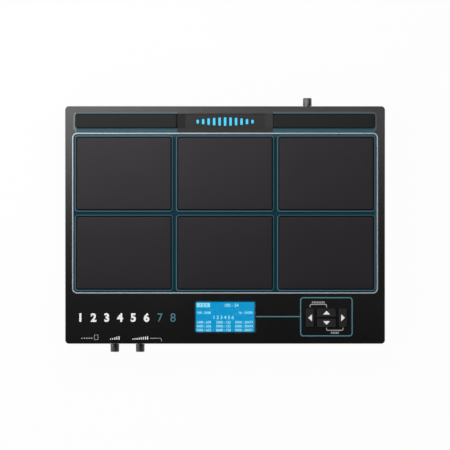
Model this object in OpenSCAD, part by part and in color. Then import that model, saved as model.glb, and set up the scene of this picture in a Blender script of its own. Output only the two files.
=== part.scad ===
// Electronic percussion pad: six rubber pads and two rubber strips in a low moulded case,
// with lit rims round the pads, a display, four keys, three knobs and a row of sockets.
// Millimetres, +Z up, origin under the middle of the case on the surface it stands on.
// The case follows from the pads: its width and depth are added up from what it holds.

/* [Playing pads] */
// Width of one pad's rubber face
pad_w = 103; // [96:0.5:112]
// Depth of one pad's rubber face
pad_d = 79; // [72:0.2:88]
// Corner radius of a pad
pad_r = 1.2; // [1:0.1:4]
// Rounding of a pad's upper edge
pad_edge = 1.4; // [0.4:0.1:1.4]
// Height of the pads above the deck
pad_rise = 1.4; // [0.8:0.1:2.5]
// How far a pad gives when it is struck
pad_travel = 0.8; // [0.3:0.1:1]
// How far the flange that holds a pad down reaches under the light guide
pad_hold = 1; // [0.6:0.1:1.2]
// Thickness of that flange
flange_t = 1.5; // [1:0.1:2]
// Gap between the flange and the light guide above it
flange_gap = 0.3; // [0.2:0.05:0.5]
// Gap between a pad's side and its lit rim
pad_clear = 1; // [0.7:0.05:1.2]
// Thickness of the steel sensor plate under a pad
plate_t = 1.5; // [1:0.1:2]
// How far the sensor plate stays inside the pad's side
plate_inset = 2; // [1:0.5:4]
// Radius of the piezo disc under a sensor plate
piezo_r = 13.5; // [10:0.5:17.5]
// Thickness of the piezo disc
piezo_t = 0.5; // [0.3:0.1:0.8]
// Thickness of the foam cushion that is left under a pad when it is struck
foam_left = 2.2; // [1.8:0.1:2.5]
// Width of the foam cushion's band
foam_band = 16; // [8:1:20]

/* [Strip pads] */
// Depth of a strip's rubber face, front to rear
strip_d = 15.4; // [12:0.2:22]
// Corner radius of a strip
strip_r = 2.2; // [1.5:0.1:3]
// Height of the strips above the deck
strip_rise = 3.8; // [1:0.1:6]
// Gap between a strip's side and its light guide
strip_clear = 0.3; // [0.3:0.05:0.6]
// Width of the flange that holds a strip down
strip_flange = 1; // [0.7:0.1:1.4]
// Width of a strip's light guide at the rear and at the outer end
strip_rim = 2.2; // [1.8:0.1:3]
// Width of a strip's light guide at the front
strip_front_rim = 3.4; // [1.8:0.1:4]
// Distance from a strip's slot to the side of the case
strip_side = 8.6; // [8:0.1:14]
// Deck left between the trim ring and a strip's slot
strip_web = 1.3; // [1:0.1:4]
// Deck left between a strip's slot and the rear edge
rear_land = 5.8; // [5.5:0.1:10]

/* [Light guide and trim ring] */
// Width of the lit rim round a pad
rim_w = 1.3; // [1:0.1:2]
// Height of the lit rims above the deck
rim_rise = 0.3; // [0:0.1:0.7]
// Rounding of a rim's outer upper edge
rim_edge = 0.9; // [0.3:0.1:1]
// Width of the valley between two rims
valley_w = 3.2; // [2.5:0.1:6]
// Thickness of the light guide's plate
guide_t = 3; // [2:0.1:4]
// Gap between the light guide's plate and the deck
guide_gap = 0.5; // [0.2:0.1:1]
// Gap between the outer rims and the trim ring
field_margin = 1.5; // [0.8:0.1:3]
// Width of the trim ring
ring_w = 1.4; // [1:0.1:3]
// Depth of the ring's seat in the deck
ring_seat = 0.8; // [0.5:0.1:1.2]
// Height of the trim ring above the deck
ring_rise = 0.3; // [0.1:0.1:0.8]
// Corner radius of the trim ring, inside
ring_r = 4; // [2:0.1:5]

/* [Case] */
// Height of the deck above the surface
deck_z = 52; // [51:0.5:70]
// Thickness of the deck
deck_t = 2.5; // [2:0.1:3]
// Thickness of the side walls
wall = 2.5; // [2:0.1:3]
// Thickness of the floor
floor_t = 2.5; // [2:0.1:3.5]
// Height of the seam between upper and lower case
split_z = 34; // [33:0.5:35]
// Deck left between the trim ring and the sides of the case
side_margin = 7.5; // [7:0.1:14]
// Corner radius of the case, seen from above
corner_r = 4; // [4:0.5:8]
// Rounding of the deck's edge
deck_edge = 0.8; // [0.6:0.1:2.8]
// Rounding of the floor's edge
floor_edge = 3; // [1:0.1:3.6]
// Depth of the shadow groove along the seam
seam_depth = 0.7; // [0.4:0.1:1]
// Height of the shadow groove along the seam
seam_h = 0.8; // [0.4:0.1:1.5]
// Height of the tongue that locates the upper case in the lower one
tongue_h = 3; // [2:0.5:4]
// Thickness of that tongue
tongue_t = 1.2; // [1:0.1:1.6]
// Gap round the tongue
tongue_gap = 0.2; // [0.1:0.05:0.3]

/* [Centre plate] */
// Width of the recess between the strips, at the deck
recess_w = 104.2; // [80:0.2:120]
// Width of each sloped end wall
recess_slope = 8.6; // [4:0.2:14]
// Depth of the recess
recess_depth = 3; // [1.5:0.1:4]
// Size of the recess, front to rear
recess_d = 16; // [12:0.2:16.4]
// Thickness of the recess's floor
recess_floor = 2; // [1.5:0.1:2]
// Flat left between the recess's slope and a strip's slot
recess_land = 0.3; // [0.2:0.1:1]

/* [Display] */
// Width of the visible display
view_w = 64; // [50:1:80]
// Depth of the visible display
view_d = 32.6; // [26:0.2:40]
// Width of the bevel round the display opening
view_bevel = 1.4; // [0.6:0.1:2]
// Border of the display module outside the visible part, left and right
module_side = 10; // [6:0.5:14]
// Border of the display module outside the visible part, front and rear
module_end = 6.7; // [5:0.1:9]
// Thickness of the clear window
window_t = 1; // [0.6:0.1:1.5]
// Border of the window under the deck
window_lap = 4; // [2:0.5:4.5]
// Thickness of the display panel
lcd_t = 3.3; // [2.5:0.1:4]
// Thickness of the display frame's sheet
frame_sheet = 0.6; // [0.4:0.1:1]
// Deck from the front edge to the display module
front_land = 6.4; // [6:0.1:12]
// Deck from the display module to the trim ring
panel_gap = 2.5; // [2:0.1:8]

/* [Keys] */
// Distance from the middle of the keys to the right side of the case
keys_side = 63.9; // [58:0.1:75]
// How far the keys sit in front of the display's middle line
keys_shift = 1; // [0:0.1:4]
// Length of a key
key_l = 20.4; // [16:0.2:24]
// Width of the left and right keys
side_key_w = 8.5; // [6:0.1:10]
// Gap between the up and the down key
key_gap = 2; // [2:0.1:3]
// Gap between the side keys and the middle ones
key_column_gap = 3.6; // [2.5:0.1:6]
// Gap between a key and its hole
key_clear = 0.25; // [0.2:0.05:0.35]
// Height of the keys above the deck
key_rise = 1.4; // [0.8:0.1:3]
// Rounding of the keys' upper edge
key_edge = 0.6; // [0.2:0.1:0.6]
// Corner radius of a key
key_r = 0.8; // [0.7:0.1:1.5]
// Width of a key's flange under the deck
key_flange = 0.8; // [0.5:0.1:0.8]
// Thickness of a key's flange
key_flange_t = 0.9; // [0.6:0.1:1.2]
// How far a key goes down
key_travel = 0.5; // [0.2:0.05:0.8]
// Radius of a key's stem
key_stem_r = 1.7; // [1:0.1:2]
// Length of a key's stem inside its switch
key_stem_in = 2; // [1:0.1:2]
// Side of a tactile switch
tact_w = 6; // [5:0.5:8]

/* [Knobs] */
// Distance from the left side of the case to the main knob
main_knob_side = 54.3; // [52:0.1:60]
// Distance from the main knob to the phones knob
knob_pitch = 27.8; // [20:0.1:40]
// Distance from the right side of the case to the rear knob
rear_knob_side = 85; // [75:0.5:90]
// Radius of a knob at its skirt
knob_r = 4.9; // [4.8:0.1:6]
// Radius of a knob at its end
knob_tip_r = 4.6; // [4:0.1:4.6]
// Length of a knob
knob_l = 8.4; // [6:0.1:14]
// Height of a knob's skirt
knob_skirt = 1.6; // [1:0.1:3]
// Gap between a knob and the case
knob_gap = 0.6; // [0.4:0.1:1]
// Flutes round a knob
knob_flutes = 18; // [12:1:24]
// Radius of a flute
flute_r = 0.45; // [0.3:0.05:0.5]
// Radius of a knob's shaft
shaft_r = 3; // [2:0.1:3]
// Depth of the flat on a shaft
shaft_flat = 1.2; // [0.6:0.1:1.5]
// Gap between a shaft and its bore
shaft_clear = 0.05; // [0.03:0.01:0.1]
// Depth of a shaft in its potentiometer
shaft_in = 5.5; // [4:0.5:6]
// Wall at a knob's closed end
knob_cap = 2; // [1.5:0.1:3]
// Width of a potentiometer
pot_w = 9.6; // [9:0.1:12]
// Length of a potentiometer
pot_l = 8; // [7:0.5:12]

/* [Sockets] */
// Radius of a jack's bore, for a 6.35 mm plug
jack_r = 3.25; // [3.2:0.01:3.4]
// Depth of a jack's bore
jack_depth = 31; // [28:0.5:33]
// Radius of a jack's bush
bush_r = 4.5; // [4.2:0.1:5]
// Width of a jack's body
jack_w = 16; // [13:0.5:17]
// Length of a jack's body
jack_l = 29; // [28:0.5:34]
// Width of a jack's nut across its flats
nut_af = 12; // [11:0.1:12.2]
// Thickness of a jack's nut
nut_t = 2; // [1.5:0.1:2.2]
// How far a bush stands out of its nut
bush_out = 0.8; // [0.4:0.1:0.9]
// Depth of the pocket that keeps a jack or the power button inside the wall's face
pocket_depth = 3.4; // [3.2:0.1:4]
// Gap between a jack's nut and the side of its pocket
pocket_gap = 0.7; // [0.4:0.1:0.8]
// Wall round a pocket
pocket_wall = 1.5; // [1.2:0.1:1.6]
// Distance from the phones knob to the phones jack
phones_pitch = 23.4; // [20:0.1:30]
// Distance from the rear knob to the power button
power_pitch = 60; // [54:0.5:64]
// Distance from the rear knob to the power inlet
inlet_pitch = 38; // [32:0.5:42]
// Distance from the rear knob to the USB socket
usb_pitch = 28; // [24:0.5:36]
// Distance from the USB socket to the data socket
midi_pitch = 32; // [28:0.5:36]
// Distance from the data socket to the first trigger jack
trigger_pitch = 45; // [40:0.5:48]
// Distance between the two jacks of a pair
jack_pitch = 30; // [28:0.5:32]
// Distance from the second trigger jack to the first output jack
output_pitch = 45; // [36:0.5:48]
// Radius of the power inlet's bore
inlet_r = 2.9; // [2.75:0.05:3.2]
// Wall round the power inlet's bore
inlet_wall = 1.1; // [0.8:0.1:1.5]
// Radius of the power inlet's pin
inlet_pin_r = 1; // [0.8:0.05:1.25]
// Depth of the power inlet's bore
inlet_depth = 9.5; // [8:0.5:11]
// Radius of the data socket's face
din_r = 7.8; // [7.4:0.1:7.9]
// Width of the data socket's ring groove
din_groove = 1.1; // [0.8:0.1:1.4]
// Depth of the data socket's ring groove
din_depth = 9; // [7:0.5:10]
// Radius of the circle that the data socket's pin holes lie on
din_pin_ring = 3.75; // [3.5:0.05:4]
// Radius of the data socket's pin holes
din_hole_r = 0.9; // [0.6:0.05:1]
// Width of the USB socket's shell
usb_w = 12; // [11:0.1:13]
// Height of the USB socket's shell
usb_h = 10.8; // [10:0.1:12]
// Thickness of the USB socket's shell
usb_shell = 1.4; // [0.8:0.1:1.6]
// Width of a memory card slot
card_w = 24.4; // [22:0.1:25]
// Height of a memory card slot
card_h = 2.5; // [2.2:0.1:3]
// Depth of the memory card slot
card_depth = 26; // [20:0.5:28]
// Thickness of the card reader's shell
card_shell = 0.7; // [0.5:0.1:1]
// Distance from the left side of the case to the card slot
card_side = 28; // [27:0.1:29]
// Radius of the thumb hollow in front of the card slot
thumb_r = 9; // [7:0.5:11]
// Height of that hollow
thumb_h = 8; // [6:0.5:10]
// Radius of the power button
power_r = 3.8; // [3:0.1:4.5]
// How far the power button stands out of its pocket's floor
power_out = 2.9; // [2.7:0.1:3.2]
// How far the power button goes in
power_travel = 2.5; // [1:0.1:2.6]
// Radius of the power button's stem
power_stem_r = 2; // [1.5:0.1:2.5]
// Gap round sockets in the case
socket_clear = 0.2; // [0.1:0.05:0.4]

/* [Boards, screws and feet] */
// Thickness of the circuit boards
board_t = 1.6; // [1:0.1:2]
// Height of the standoffs under the lower boards
standoff_h = 6.4; // [5.5:0.1:8]
// Height of the sockets' middle line above their board
socket_h = 8; // [8:0.1:9]
// How far the main board reaches in under the pad tray
main_reach = 28; // [24:0.5:30]
// Width of a ribbon cable's header
header_w = 22; // [20:0.5:24]
// Radius of a standoff
standoff_r = 3; // [2.5:0.1:3.5]
// Radius of a small screw's shank
small_screw_r = 1.25; // [1:0.05:1.5]
// Radius of a small screw's head
small_head_r = 2.3; // [2:0.1:2.5]
// Height of a small screw's head
small_head_h = 1.7; // [1:0.1:2]
// Length of a small screw's shank
small_screw_l = 5; // [4:0.5:5]
// Wall round a small screw in its post
small_post_wall = 1.7; // [1.4:0.1:2]
// Radius of a case screw's shank
case_screw_r = 1.5; // [1.2:0.05:1.75]
// Radius of a case screw's head
case_head_r = 2.8; // [2.4:0.1:3]
// Height of a case screw's head
case_head_h = 2.2; // [1.5:0.1:3]
// Wall round a case screw in its post
post_wall = 2; // [1.6:0.1:2.4]
// Thickness of the web that a case screw clamps
clamp_t = 3; // [2:0.5:4]
// How deep a case screw bites
screw_bite = 4.5; // [3:0.5:4.5]
// Gap between a screw and its hole
screw_clear = 0.05; // [0.03:0.01:0.1]
// Wall round a screw pillar's bore
pillar_wall = 1.6; // [1.2:0.1:1.7]
// Height of the feet under the case
foot_h = 3; // [2:0.5:6]
// Radius of a foot
foot_r = 9; // [6:0.5:12]
// Chamfer round a foot's lower edge
foot_chamfer = 1; // [0.4:0.1:1.5]
// Depth of a foot's seat in the floor
foot_seat = 1.5; // [1:0.1:2]
// Distance from a foot to the sides of the case
foot_inset = 25; // [22:0.5:32]
// Spacing of the threaded inserts for a stand plate
insert_pitch = 75; // [60:1:90]
// Radius of an insert's thread, M5 at its core
insert_core_r = 2.1; // [1.6:0.05:2.6]
// Outer radius of an insert
insert_r = 3.5; // [3.1:0.1:4]
// Length of an insert
insert_l = 9; // [6:0.5:12]
// Wall round an insert and over its end
insert_wall = 2.5; // [2:0.1:3]
// Thickness of the pad tray's floor
tray_t = 2; // [1.5:0.1:2.5]
// Thickness of the pad tray's outer walls
tray_wall = 2; // [1.5:0.1:2.2]
// Gap between a pad's flange and the tray's wall
tray_clear = 0.6; // [0.4:0.05:0.7]

/* [Hidden] */
$fn = 64;
// Overlap that fuses two shapes, and how far a cutting shape runs past what it cuts
eps = 0.01;
cut = 1;
pad_cols = 3;
pad_rows = 2;
pad_count = pad_cols * pad_rows;
key_names = ["left_key", "up_key", "down_key", "right_key"];
knob_names = ["main", "phones", "contrast"];
strip_names = ["left_strip", "right_strip"];

// Plan of the pad field and of the case round it
cell_w = pad_w + 2 * (pad_clear + rim_w);
cell_d = pad_d + 2 * (pad_clear + rim_w);
pitch_x = cell_w + valley_w;
pitch_y = cell_d + valley_w;
field_w = pad_cols * pitch_x - valley_w;
field_d = pad_rows * pitch_y - valley_w;
ring_in_w = field_w + 2 * field_margin;
ring_in_d = field_d + 2 * field_margin;
ring_out_w = ring_in_w + 2 * ring_w;
ring_out_d = ring_in_d + 2 * ring_w;
module_w = view_w + 2 * module_side;
module_d = view_d + 2 * module_end;
slot_clear = 0.1;
slot_d = strip_d + 2 * (strip_clear + slot_clear) + strip_rim + strip_front_rim;
body_w = ring_out_w + 2 * side_margin;
body_d = front_land + module_d + panel_gap + ring_out_d + strip_web + slot_d + rear_land;
front_y = -body_d / 2;
rear_y = body_d / 2;
display_y = front_y + front_land + module_d / 2;
ring_front = front_y + front_land + module_d + panel_gap;
ring_rear = ring_front + ring_out_d;
field_y = ring_front + ring_out_d / 2;

// Plan of the strips, from their rubber outwards to their slots in the deck
slot_y = ring_rear + strip_web + slot_d / 2;
strip_y = ring_rear + strip_web + slot_clear + strip_front_rim + strip_clear + strip_d / 2;
slot_in = recess_w / 2 + recess_land;
slot_out = body_w / 2 - strip_side;
strip_in = slot_in + slot_clear + strip_clear;
strip_out = slot_out - slot_clear - strip_rim - strip_clear;
strip_x = (strip_in + strip_out) / 2;
strip_w = strip_out - strip_in;
strip_pocket_r = strip_r + strip_clear;
strip_guide_r = strip_pocket_r + strip_rim;
slot_r = strip_guide_r + slot_clear;

// Heights, from the deck downwards and from the floor upwards
under_deck = deck_z - deck_t;
guide_top = under_deck - guide_gap;
guide_base = guide_top - guide_t;
flange_top = guide_base - flange_gap;
rubber_base = flange_top - flange_t;
plate_base = rubber_base - plate_t;
tray_top = plate_base - foam_left - pad_travel;
tray_base = tray_top - tray_t;
recess_z = deck_z - recess_depth;
window_base = under_deck - window_t;
panel_top = window_base - frame_sheet;
control_top = panel_top - lcd_t;
control_base = control_top - board_t;
key_flange_gap = 0.3;
key_base = under_deck - key_flange_gap - key_flange_t;
key_stop_gap = 0.1;
tact_top = key_base - key_travel - key_stop_gap;
floor_top = foot_h + floor_t;
board_base = floor_top + standoff_h;
board_top = board_base + board_t;
axis_z = board_top + socket_h;

// Places of pads, keys, knobs and sockets
function pad_x(n) = ((n - 1) % pad_cols - (pad_cols - 1) / 2) * pitch_x;
function pad_y(n) = field_y + ((pad_rows - 1) / 2 - floor((n - 1) / pad_cols)) * pitch_y;
keys_x = body_w / 2 - keys_side;
keys_y = display_y - keys_shift;
mid_key_d = (key_l - key_gap) / 2;
side_key_x = key_l / 2 + key_column_gap + side_key_w / 2;
mid_key_y = (mid_key_d + key_gap) / 2;
key_places = [[-side_key_x, 0], [0, mid_key_y], [0, -mid_key_y], [side_key_x, 0]];
key_sizes = [[side_key_w, key_l], [key_l, mid_key_d], [key_l, mid_key_d], [side_key_w, key_l]];
main_knob_x = main_knob_side - body_w / 2;
phones_knob_x = main_knob_x + knob_pitch;
phones_jack_x = phones_knob_x + phones_pitch;
card_x = card_side - body_w / 2;
rear_knob_x = body_w / 2 - rear_knob_side;
power_x = rear_knob_x + power_pitch;
inlet_x = rear_knob_x + inlet_pitch;
usb_x = rear_knob_x - usb_pitch;
midi_x = usb_x - midi_pitch;
trigger_xs = [midi_x - trigger_pitch, midi_x - trigger_pitch - jack_pitch];
output_xs = [trigger_xs[1] - output_pitch, trigger_xs[1] - output_pitch - jack_pitch];

// Sockets: how deep their bodies sit behind the wall, and sizes that two pieces share
socket_seat = 0.2;
socket_face = -wall - socket_seat;
pocket_r = nut_af / 2 / cos(30) + pocket_gap;
inlet_nose_r = inlet_r + inlet_wall;
card_z = card_shell + card_h / 2 - socket_h;
power_back = 0.8;
power_face = socket_face - power_travel - power_back;
power_body_w = 9;
pot_seat = 0.3;
pot_face = -wall - pot_seat;
shaft_end = knob_gap + knob_l - knob_cap;

// Outlines of the tray's pockets and of the light guide
pad_flange = pad_clear + pad_hold;
pocket_w = pad_w + 2 * (pad_flange + tray_clear);
pocket_d = pad_d + 2 * (pad_flange + tray_clear);
tray_half_w = pitch_x + pocket_w / 2 + tray_wall;
tray_front = field_y - pitch_y / 2 - pocket_d / 2 - tray_wall;
tray_mid = field_y + pitch_y / 2 + pocket_d / 2 + tray_wall;
strip_tray_w = strip_w + 2 * (strip_flange + tray_clear);
strip_tray_d = strip_d + 2 * (strip_flange + tray_clear);
guide_lap = 1.1;
guide_w = ring_in_w + 2 * guide_lap;
guide_front = tray_front;
guide_rear = ring_rear - ring_w + guide_lap;
strip_disc_gap = 1;
strip_disc_r = strip_d / 2 - plate_inset - strip_disc_gap;

// Control board: under the display and, with a step, under the keys
control_side = 8.5;
key_side = 12;
key_step = 9;
control_left = -module_w / 2 - control_side;
control_right = keys_x + side_key_x + side_key_w / 2 + key_side;
control_front = display_y - module_d / 2;
control_rear = display_y + module_d / 2;
key_board_rear = control_rear - key_step;
board_screw = 4;
control_posts = [
    for (x = [control_left + board_screw, module_w / 2 + 2 * board_screw, control_right - board_screw])
        for (y = [control_front + board_screw, key_board_rear - board_screw]) [x, y]];

// Main board along the rear wall, front board behind the front wall
board_edge = 4;
main_wall_gap = 5.5;
main_left = output_xs[1] - jack_w / 2 - board_edge;
main_right = power_x + power_body_w / 2 + board_edge;
main_front = tray_mid - main_reach;
main_rear = rear_y - wall - main_wall_gap;
front_wall_gap = 4;
front_side = 1.1;
front_tail = 6.5;
front_left = card_x - card_w / 2 - card_shell - front_side;
front_right = phones_jack_x + jack_w / 2;
front_front = front_y + wall + front_wall_gap;
front_rear = front_y + pocket_depth + wall + jack_l + front_tail;

// Ribbon cables: from the display and from the front board to the main board
header_d = 6;
header_h = 4;
header_side = 26;
header_back = 24;
display_ribbon_x = module_w / 2 + header_side;
display_ribbon_y = control_front + header_back;
front_ribbon_x = phones_knob_x;
front_ribbon_y = front_rear - header_d;
ribbon_end_y = main_front + header_d;

// Standoffs: clear of the headers, and half-way between neighbouring sockets
header_gap = 8;
front_screw = 3;
main_screw_back = 10;
header_clear = header_w / 2 + header_gap;
main_standoffs = concat(
    [for (x = [main_left + board_screw, front_ribbon_x + header_clear,
               display_ribbon_x + header_clear, main_right - board_screw])
        [x, main_front + board_screw]],
    [for (x = [(output_xs[0] + output_xs[1]) / 2, (usb_x + midi_x) / 2, (inlet_x + rear_knob_x) / 2])
        [x, main_rear - main_screw_back]]);
front_standoffs = [
    for (x = [front_left + 2 * front_screw, front_ribbon_x - header_w / 2 - board_screw,
              front_right - front_screw])
        [x, front_rear - front_screw]];

// Screw pillars of the lower case, posts of the upper case and ears of the tray
pillar_r = case_head_r + screw_clear + pillar_wall;
pillar_gap = 0.5;
pillar_room = 0.6;
post_r = case_screw_r + screw_clear + post_wall;
small_post_r = small_screw_r + screw_clear + small_post_wall;
hole_spare = 0.5;
post_inset = wall + tongue_gap + tongue_t + pillar_r + pillar_gap;
post_front = front_y + post_inset;
post_rear = rear_y - post_inset;
mid_post_side = 18;
case_posts = [
    [-body_w / 2 + post_inset, post_front], [body_w / 2 - post_inset, post_front],
    [module_w / 2 + mid_post_side, post_front],
    [(midi_x + trigger_xs[0]) / 2, post_rear], [(trigger_xs[0] + trigger_xs[1]) / 2, post_rear]];
pillar_inset = 12;
pillar_front = 6;
pillar_rear = 8.5;
pillar_x = pitch_x + pad_w / 2 - pillar_inset;
tray_pillars = concat(
    [for (x = [-pitch_x, 0, pitch_x]) [x, field_y]],
    [for (x = [-pillar_x, pillar_x], y = [tray_front + pillar_front, main_front - pillar_r - pillar_rear])
        [x, y]]);
ear_wall = 0.8;
ear_side = 15;
ear_step = 60;
recess_ear = 13;
recess_ear_back = 5;
ear_r = small_post_r + ear_wall;
ear_x = body_w / 2 - ear_side;
tray_ears = concat(
    [for (x = [-ear_x, -ear_x + ear_step, ear_x - ear_step, ear_x]) [x, tray_front - ear_r]],
    [for (x = [-1, 1]) [x * (recess_w / 2 - recess_ear), strip_y - recess_ear_back]]);
foot_x = body_w / 2 - foot_inset;
foot_y = body_d / 2 - foot_inset;
foot_wall = 2;
foot_places = [for (x = [-foot_x, foot_x], y = [-foot_y, foot_y]) [x, y]];
insert_half = insert_pitch / 2;
insert_places = [for (x = [-insert_half, insert_half], y = [-insert_half, insert_half]) [x, field_y + y]];

// Shared shapes

// Rectangle with round corners, centred
module round_rect(w, d, r) {
    square([w - 2 * r, d], center = true);
    square([w, d - 2 * r], center = true);
    for (x = [-1, 1], y = [-1, 1]) translate([x * (w / 2 - r), y * (d / 2 - r)]) circle(r);
}

// Flat slab with round corners, from height z0 to z1
module slab(w, d, r, z0, z1) {
    translate([0, 0, z0]) linear_extrude(z1 - z0) round_rect(w, d, r);
}

// Flat slab from x0 to x1 whose outer end alone has round corners
module round_ended(x0, x1, d, r, z0, z1) {
    translate([0, 0, z0]) linear_extrude(z1 - z0) {
        translate([x0, -d / 2]) square([x1 - r - x0, d]);
        translate([x0, r - d / 2]) square([x1 - x0, d - 2 * r]);
        for (y = [-1, 1]) translate([x1 - r, y * (d / 2 - r)]) circle(r);
    }
}

// Half of a slab's wall in section, with its outer upper corner rounded
module edge_section(reach, h, edge) {
    difference() {
        square([reach, h]);
        translate([reach - edge, h - edge]) difference() {
            square(2 * edge);
            circle(edge);
        }
    }
}

// Slab with round corners and a rounded upper edge, standing on z = 0
module crowned_slab(w, d, h, r, edge) {
    in_w = w - 2 * r;
    in_d = d - 2 * r;
    translate([-in_w / 2, -in_d / 2, 0]) cube([in_w, in_d, h]);
    for (side = [0, 1]) mirror([0, side, 0])
        translate([-in_w / 2, in_d / 2, 0]) rotate([90, 0, 90])
            linear_extrude(in_w) edge_section(r, h, edge);
    for (side = [0, 1]) mirror([side, 0, 0])
        translate([in_w / 2, in_d / 2, 0]) rotate([90, 0, 0])
            linear_extrude(in_d) edge_section(r, h, edge);
    for (sx = [0, 1], sy = [0, 1]) mirror([sx, 0, 0]) mirror([0, sy, 0])
        translate([in_w / 2, in_d / 2, 0]) rotate_extrude(angle = 90) edge_section(r, h, edge);
}

// The largest rounding that leaves a little of a corner's radius flat
edge_flat = 0.1;
function edge_for(edge, r) = min(edge, r - edge_flat);

// Upright cylinder at a place, from height z0 to z1
module post(place, r, z0, z1) {
    translate([place[0], place[1], z0]) cylinder(r = r, h = z1 - z0);
}

// Box from one corner to the other
module block(low, high) {
    translate(low) cube(high - low);
}

// Cylinder and box along Y, for what sits in a wall
module rod_y(r, y0, y1) {
    translate([0, y0, 0]) rotate([-90, 0, 0]) cylinder(r = r, h = y1 - y0);
}
module box_y(w, y0, y1, z0, z1) {
    block([-w / 2, y0, z0], [w / 2, y1, z1]);
}

// Local frames of sockets: origin on the wall's outer face, +Y pointing out
module at_rear(x) translate([x, rear_y, axis_z]) children();
module at_front(x) translate([x, front_y, axis_z]) rotate(180) children();

// Local frames of what sits in a pocket: origin on the pocket's floor
module at_jacks(xs) for (x = xs) at_rear(x) translate([0, -pocket_depth, 0]) children();
module at_phones() at_front(phones_jack_x) translate([0, -pocket_depth, 0]) children();
module at_power() at_rear(power_x) translate([0, -pocket_depth, 0]) children();
module at_pockets() {
    at_phones() children();
    at_jacks(concat(trigger_xs, output_xs)) children();
    at_power() children();
}
module at_knob(k) {
    if (k == 0) at_front(main_knob_x) children();
    if (k == 1) at_front(phones_knob_x) children();
    if (k == 2) at_rear(rear_knob_x) children();
}

// Local frames of pads, strips and keys: origin in the middle of the piece, at z = 0
module at_pad(n) translate([pad_x(n), pad_y(n), 0]) children();
module at_strip(s) translate([(s == 0 ? -1 : 1) * strip_x, strip_y, 0]) children();
module at_key(k) translate([keys_x + key_places[k][0], keys_y + key_places[k][1], 0]) children();

// Case

// Trough between the strips, with sloped ends
module recess_cut() {
    half = recess_w / 2;
    translate([0, strip_y + recess_d / 2, 0]) rotate([90, 0, 0]) linear_extrude(recess_d)
        polygon([[-half + recess_slope, recess_z], [half - recess_slope, recess_z],
                 [half, deck_z], [half, deck_z + cut], [-half, deck_z + cut], [-half, deck_z]]);
}

// Display opening, with four bevelled walls that widen upwards
module view_side(low, high, length) {
    translate([0, length / 2, 0]) rotate([90, 0, 0]) linear_extrude(length)
        polygon([[-low, under_deck - eps], [low, under_deck - eps],
                 [high, deck_z], [high, deck_z + cut], [-high, deck_z + cut], [-high, deck_z]]);
}
module view_cut() {
    translate([0, display_y, 0]) intersection() {
        view_side(view_w / 2, view_w / 2 + view_bevel, view_d + 2 * (view_bevel + cut));
        rotate(90) view_side(view_d / 2, view_d / 2 + view_bevel, view_w + 2 * (view_bevel + cut));
    }
}

// Tongue inside the seam: its upper half is one with the wall, its lower half reaches into the lower case
module tongue() {
    in_w = body_w - 2 * (wall + tongue_gap + tongue_t);
    in_d = body_d - 2 * (wall + tongue_gap + tongue_t);
    difference() {
        union() {
            slab(body_w - wall, body_d - wall, corner_r - wall / 2, split_z, split_z + tongue_h);
            slab(body_w - 2 * (wall + tongue_gap), body_d - 2 * (wall + tongue_gap), corner_r - wall,
                 split_z - tongue_h, split_z + eps);
        }
        translate([0, 0, split_z - tongue_h - cut]) linear_extrude(2 * (tongue_h + cut))
            square([in_w, in_d], center = true);
    }
}

module top_case() {
    recess_rim = 2;
    recess_half_w = recess_w / 2 + recess_land / 2;
    recess_half_d = recess_d / 2 + recess_rim;
    color([0.10, 0.10, 0.11]) difference() {
        union() {
            difference() {
                translate([0, 0, split_z])
                    crowned_slab(body_w, body_d, deck_z - split_z, corner_r, deck_edge);
                slab(body_w - 2 * wall, body_d - 2 * wall, corner_r - wall, split_z - cut, under_deck);
            }
            tongue();
            block([-recess_half_w, strip_y - recess_half_d, recess_z - recess_floor],
                  [recess_half_w, strip_y + recess_half_d, under_deck + eps]);
            for (p = case_posts) post(p, post_r, split_z, under_deck + eps);
            for (p = tray_ears) post(p, small_post_r, tray_top, under_deck + eps);
            for (p = control_posts) post(p, small_post_r, control_top, under_deck + eps);
        }
        translate([0, field_y, 0]) {
            slab(ring_in_w, ring_in_d, ring_r, under_deck - cut, deck_z + cut);
            slab(ring_out_w + 2 * slot_clear, ring_out_d + 2 * slot_clear, ring_r + ring_w,
                 deck_z - ring_seat, deck_z + cut);
        }
        for (side = [0, 1]) mirror([side, 0, 0]) translate([0, slot_y, 0])
            round_ended(slot_in, slot_out, slot_d, slot_r, under_deck - cut, deck_z + cut);
        recess_cut();
        view_cut();
        for (k = [0 : 3]) at_key(k)
            slab(key_sizes[k][0] + 2 * key_clear, key_sizes[k][1] + 2 * key_clear, key_r + key_clear,
                 under_deck - cut, deck_z + cut);
        for (p = case_posts)
            post(p, case_screw_r + screw_clear, split_z - cut, split_z + screw_bite + hole_spare);
        for (p = tray_ears)
            post(p, small_screw_r + screw_clear, tray_top - cut, tray_base + small_screw_l + hole_spare);
        for (p = control_posts)
            post(p, small_screw_r + screw_clear, control_top - cut,
                 control_base + small_screw_l + hole_spare);
    }
}

// Holes in the walls for knobs and sockets
module wall_rod(r) rod_y(r, -wall - cut, cut);
module wall_holes() {
    shaft_room = 0.6;
    button_gap = 0.3;
    for (k = [0 : 2]) at_knob(k) wall_rod(shaft_r + shaft_room);
    at_pockets() rod_y(pocket_r, 0, pocket_depth + cut);
    at_phones() wall_rod(bush_r + socket_clear);
    at_jacks(concat(trigger_xs, output_xs)) wall_rod(bush_r + socket_clear);
    at_power() wall_rod(power_r + button_gap);
    at_rear(inlet_x) wall_rod(inlet_nose_r + socket_clear);
    at_rear(midi_x) wall_rod(din_r + socket_clear);
    at_rear(usb_x) box_y(usb_w + 2 * socket_clear, -wall - cut, cut,
                         -socket_h - socket_clear, usb_h - socket_h + socket_clear);
    at_front(card_x) {
        box_y(card_w + 2 * socket_clear, -wall - cut, cut, card_z - card_h / 2 - socket_clear,
              card_z + card_h / 2 + socket_clear);
        translate([0, thumb_r - wall / 2, card_z - thumb_h / 2]) cylinder(r = thumb_r, h = thumb_h);
    }
}

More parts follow.
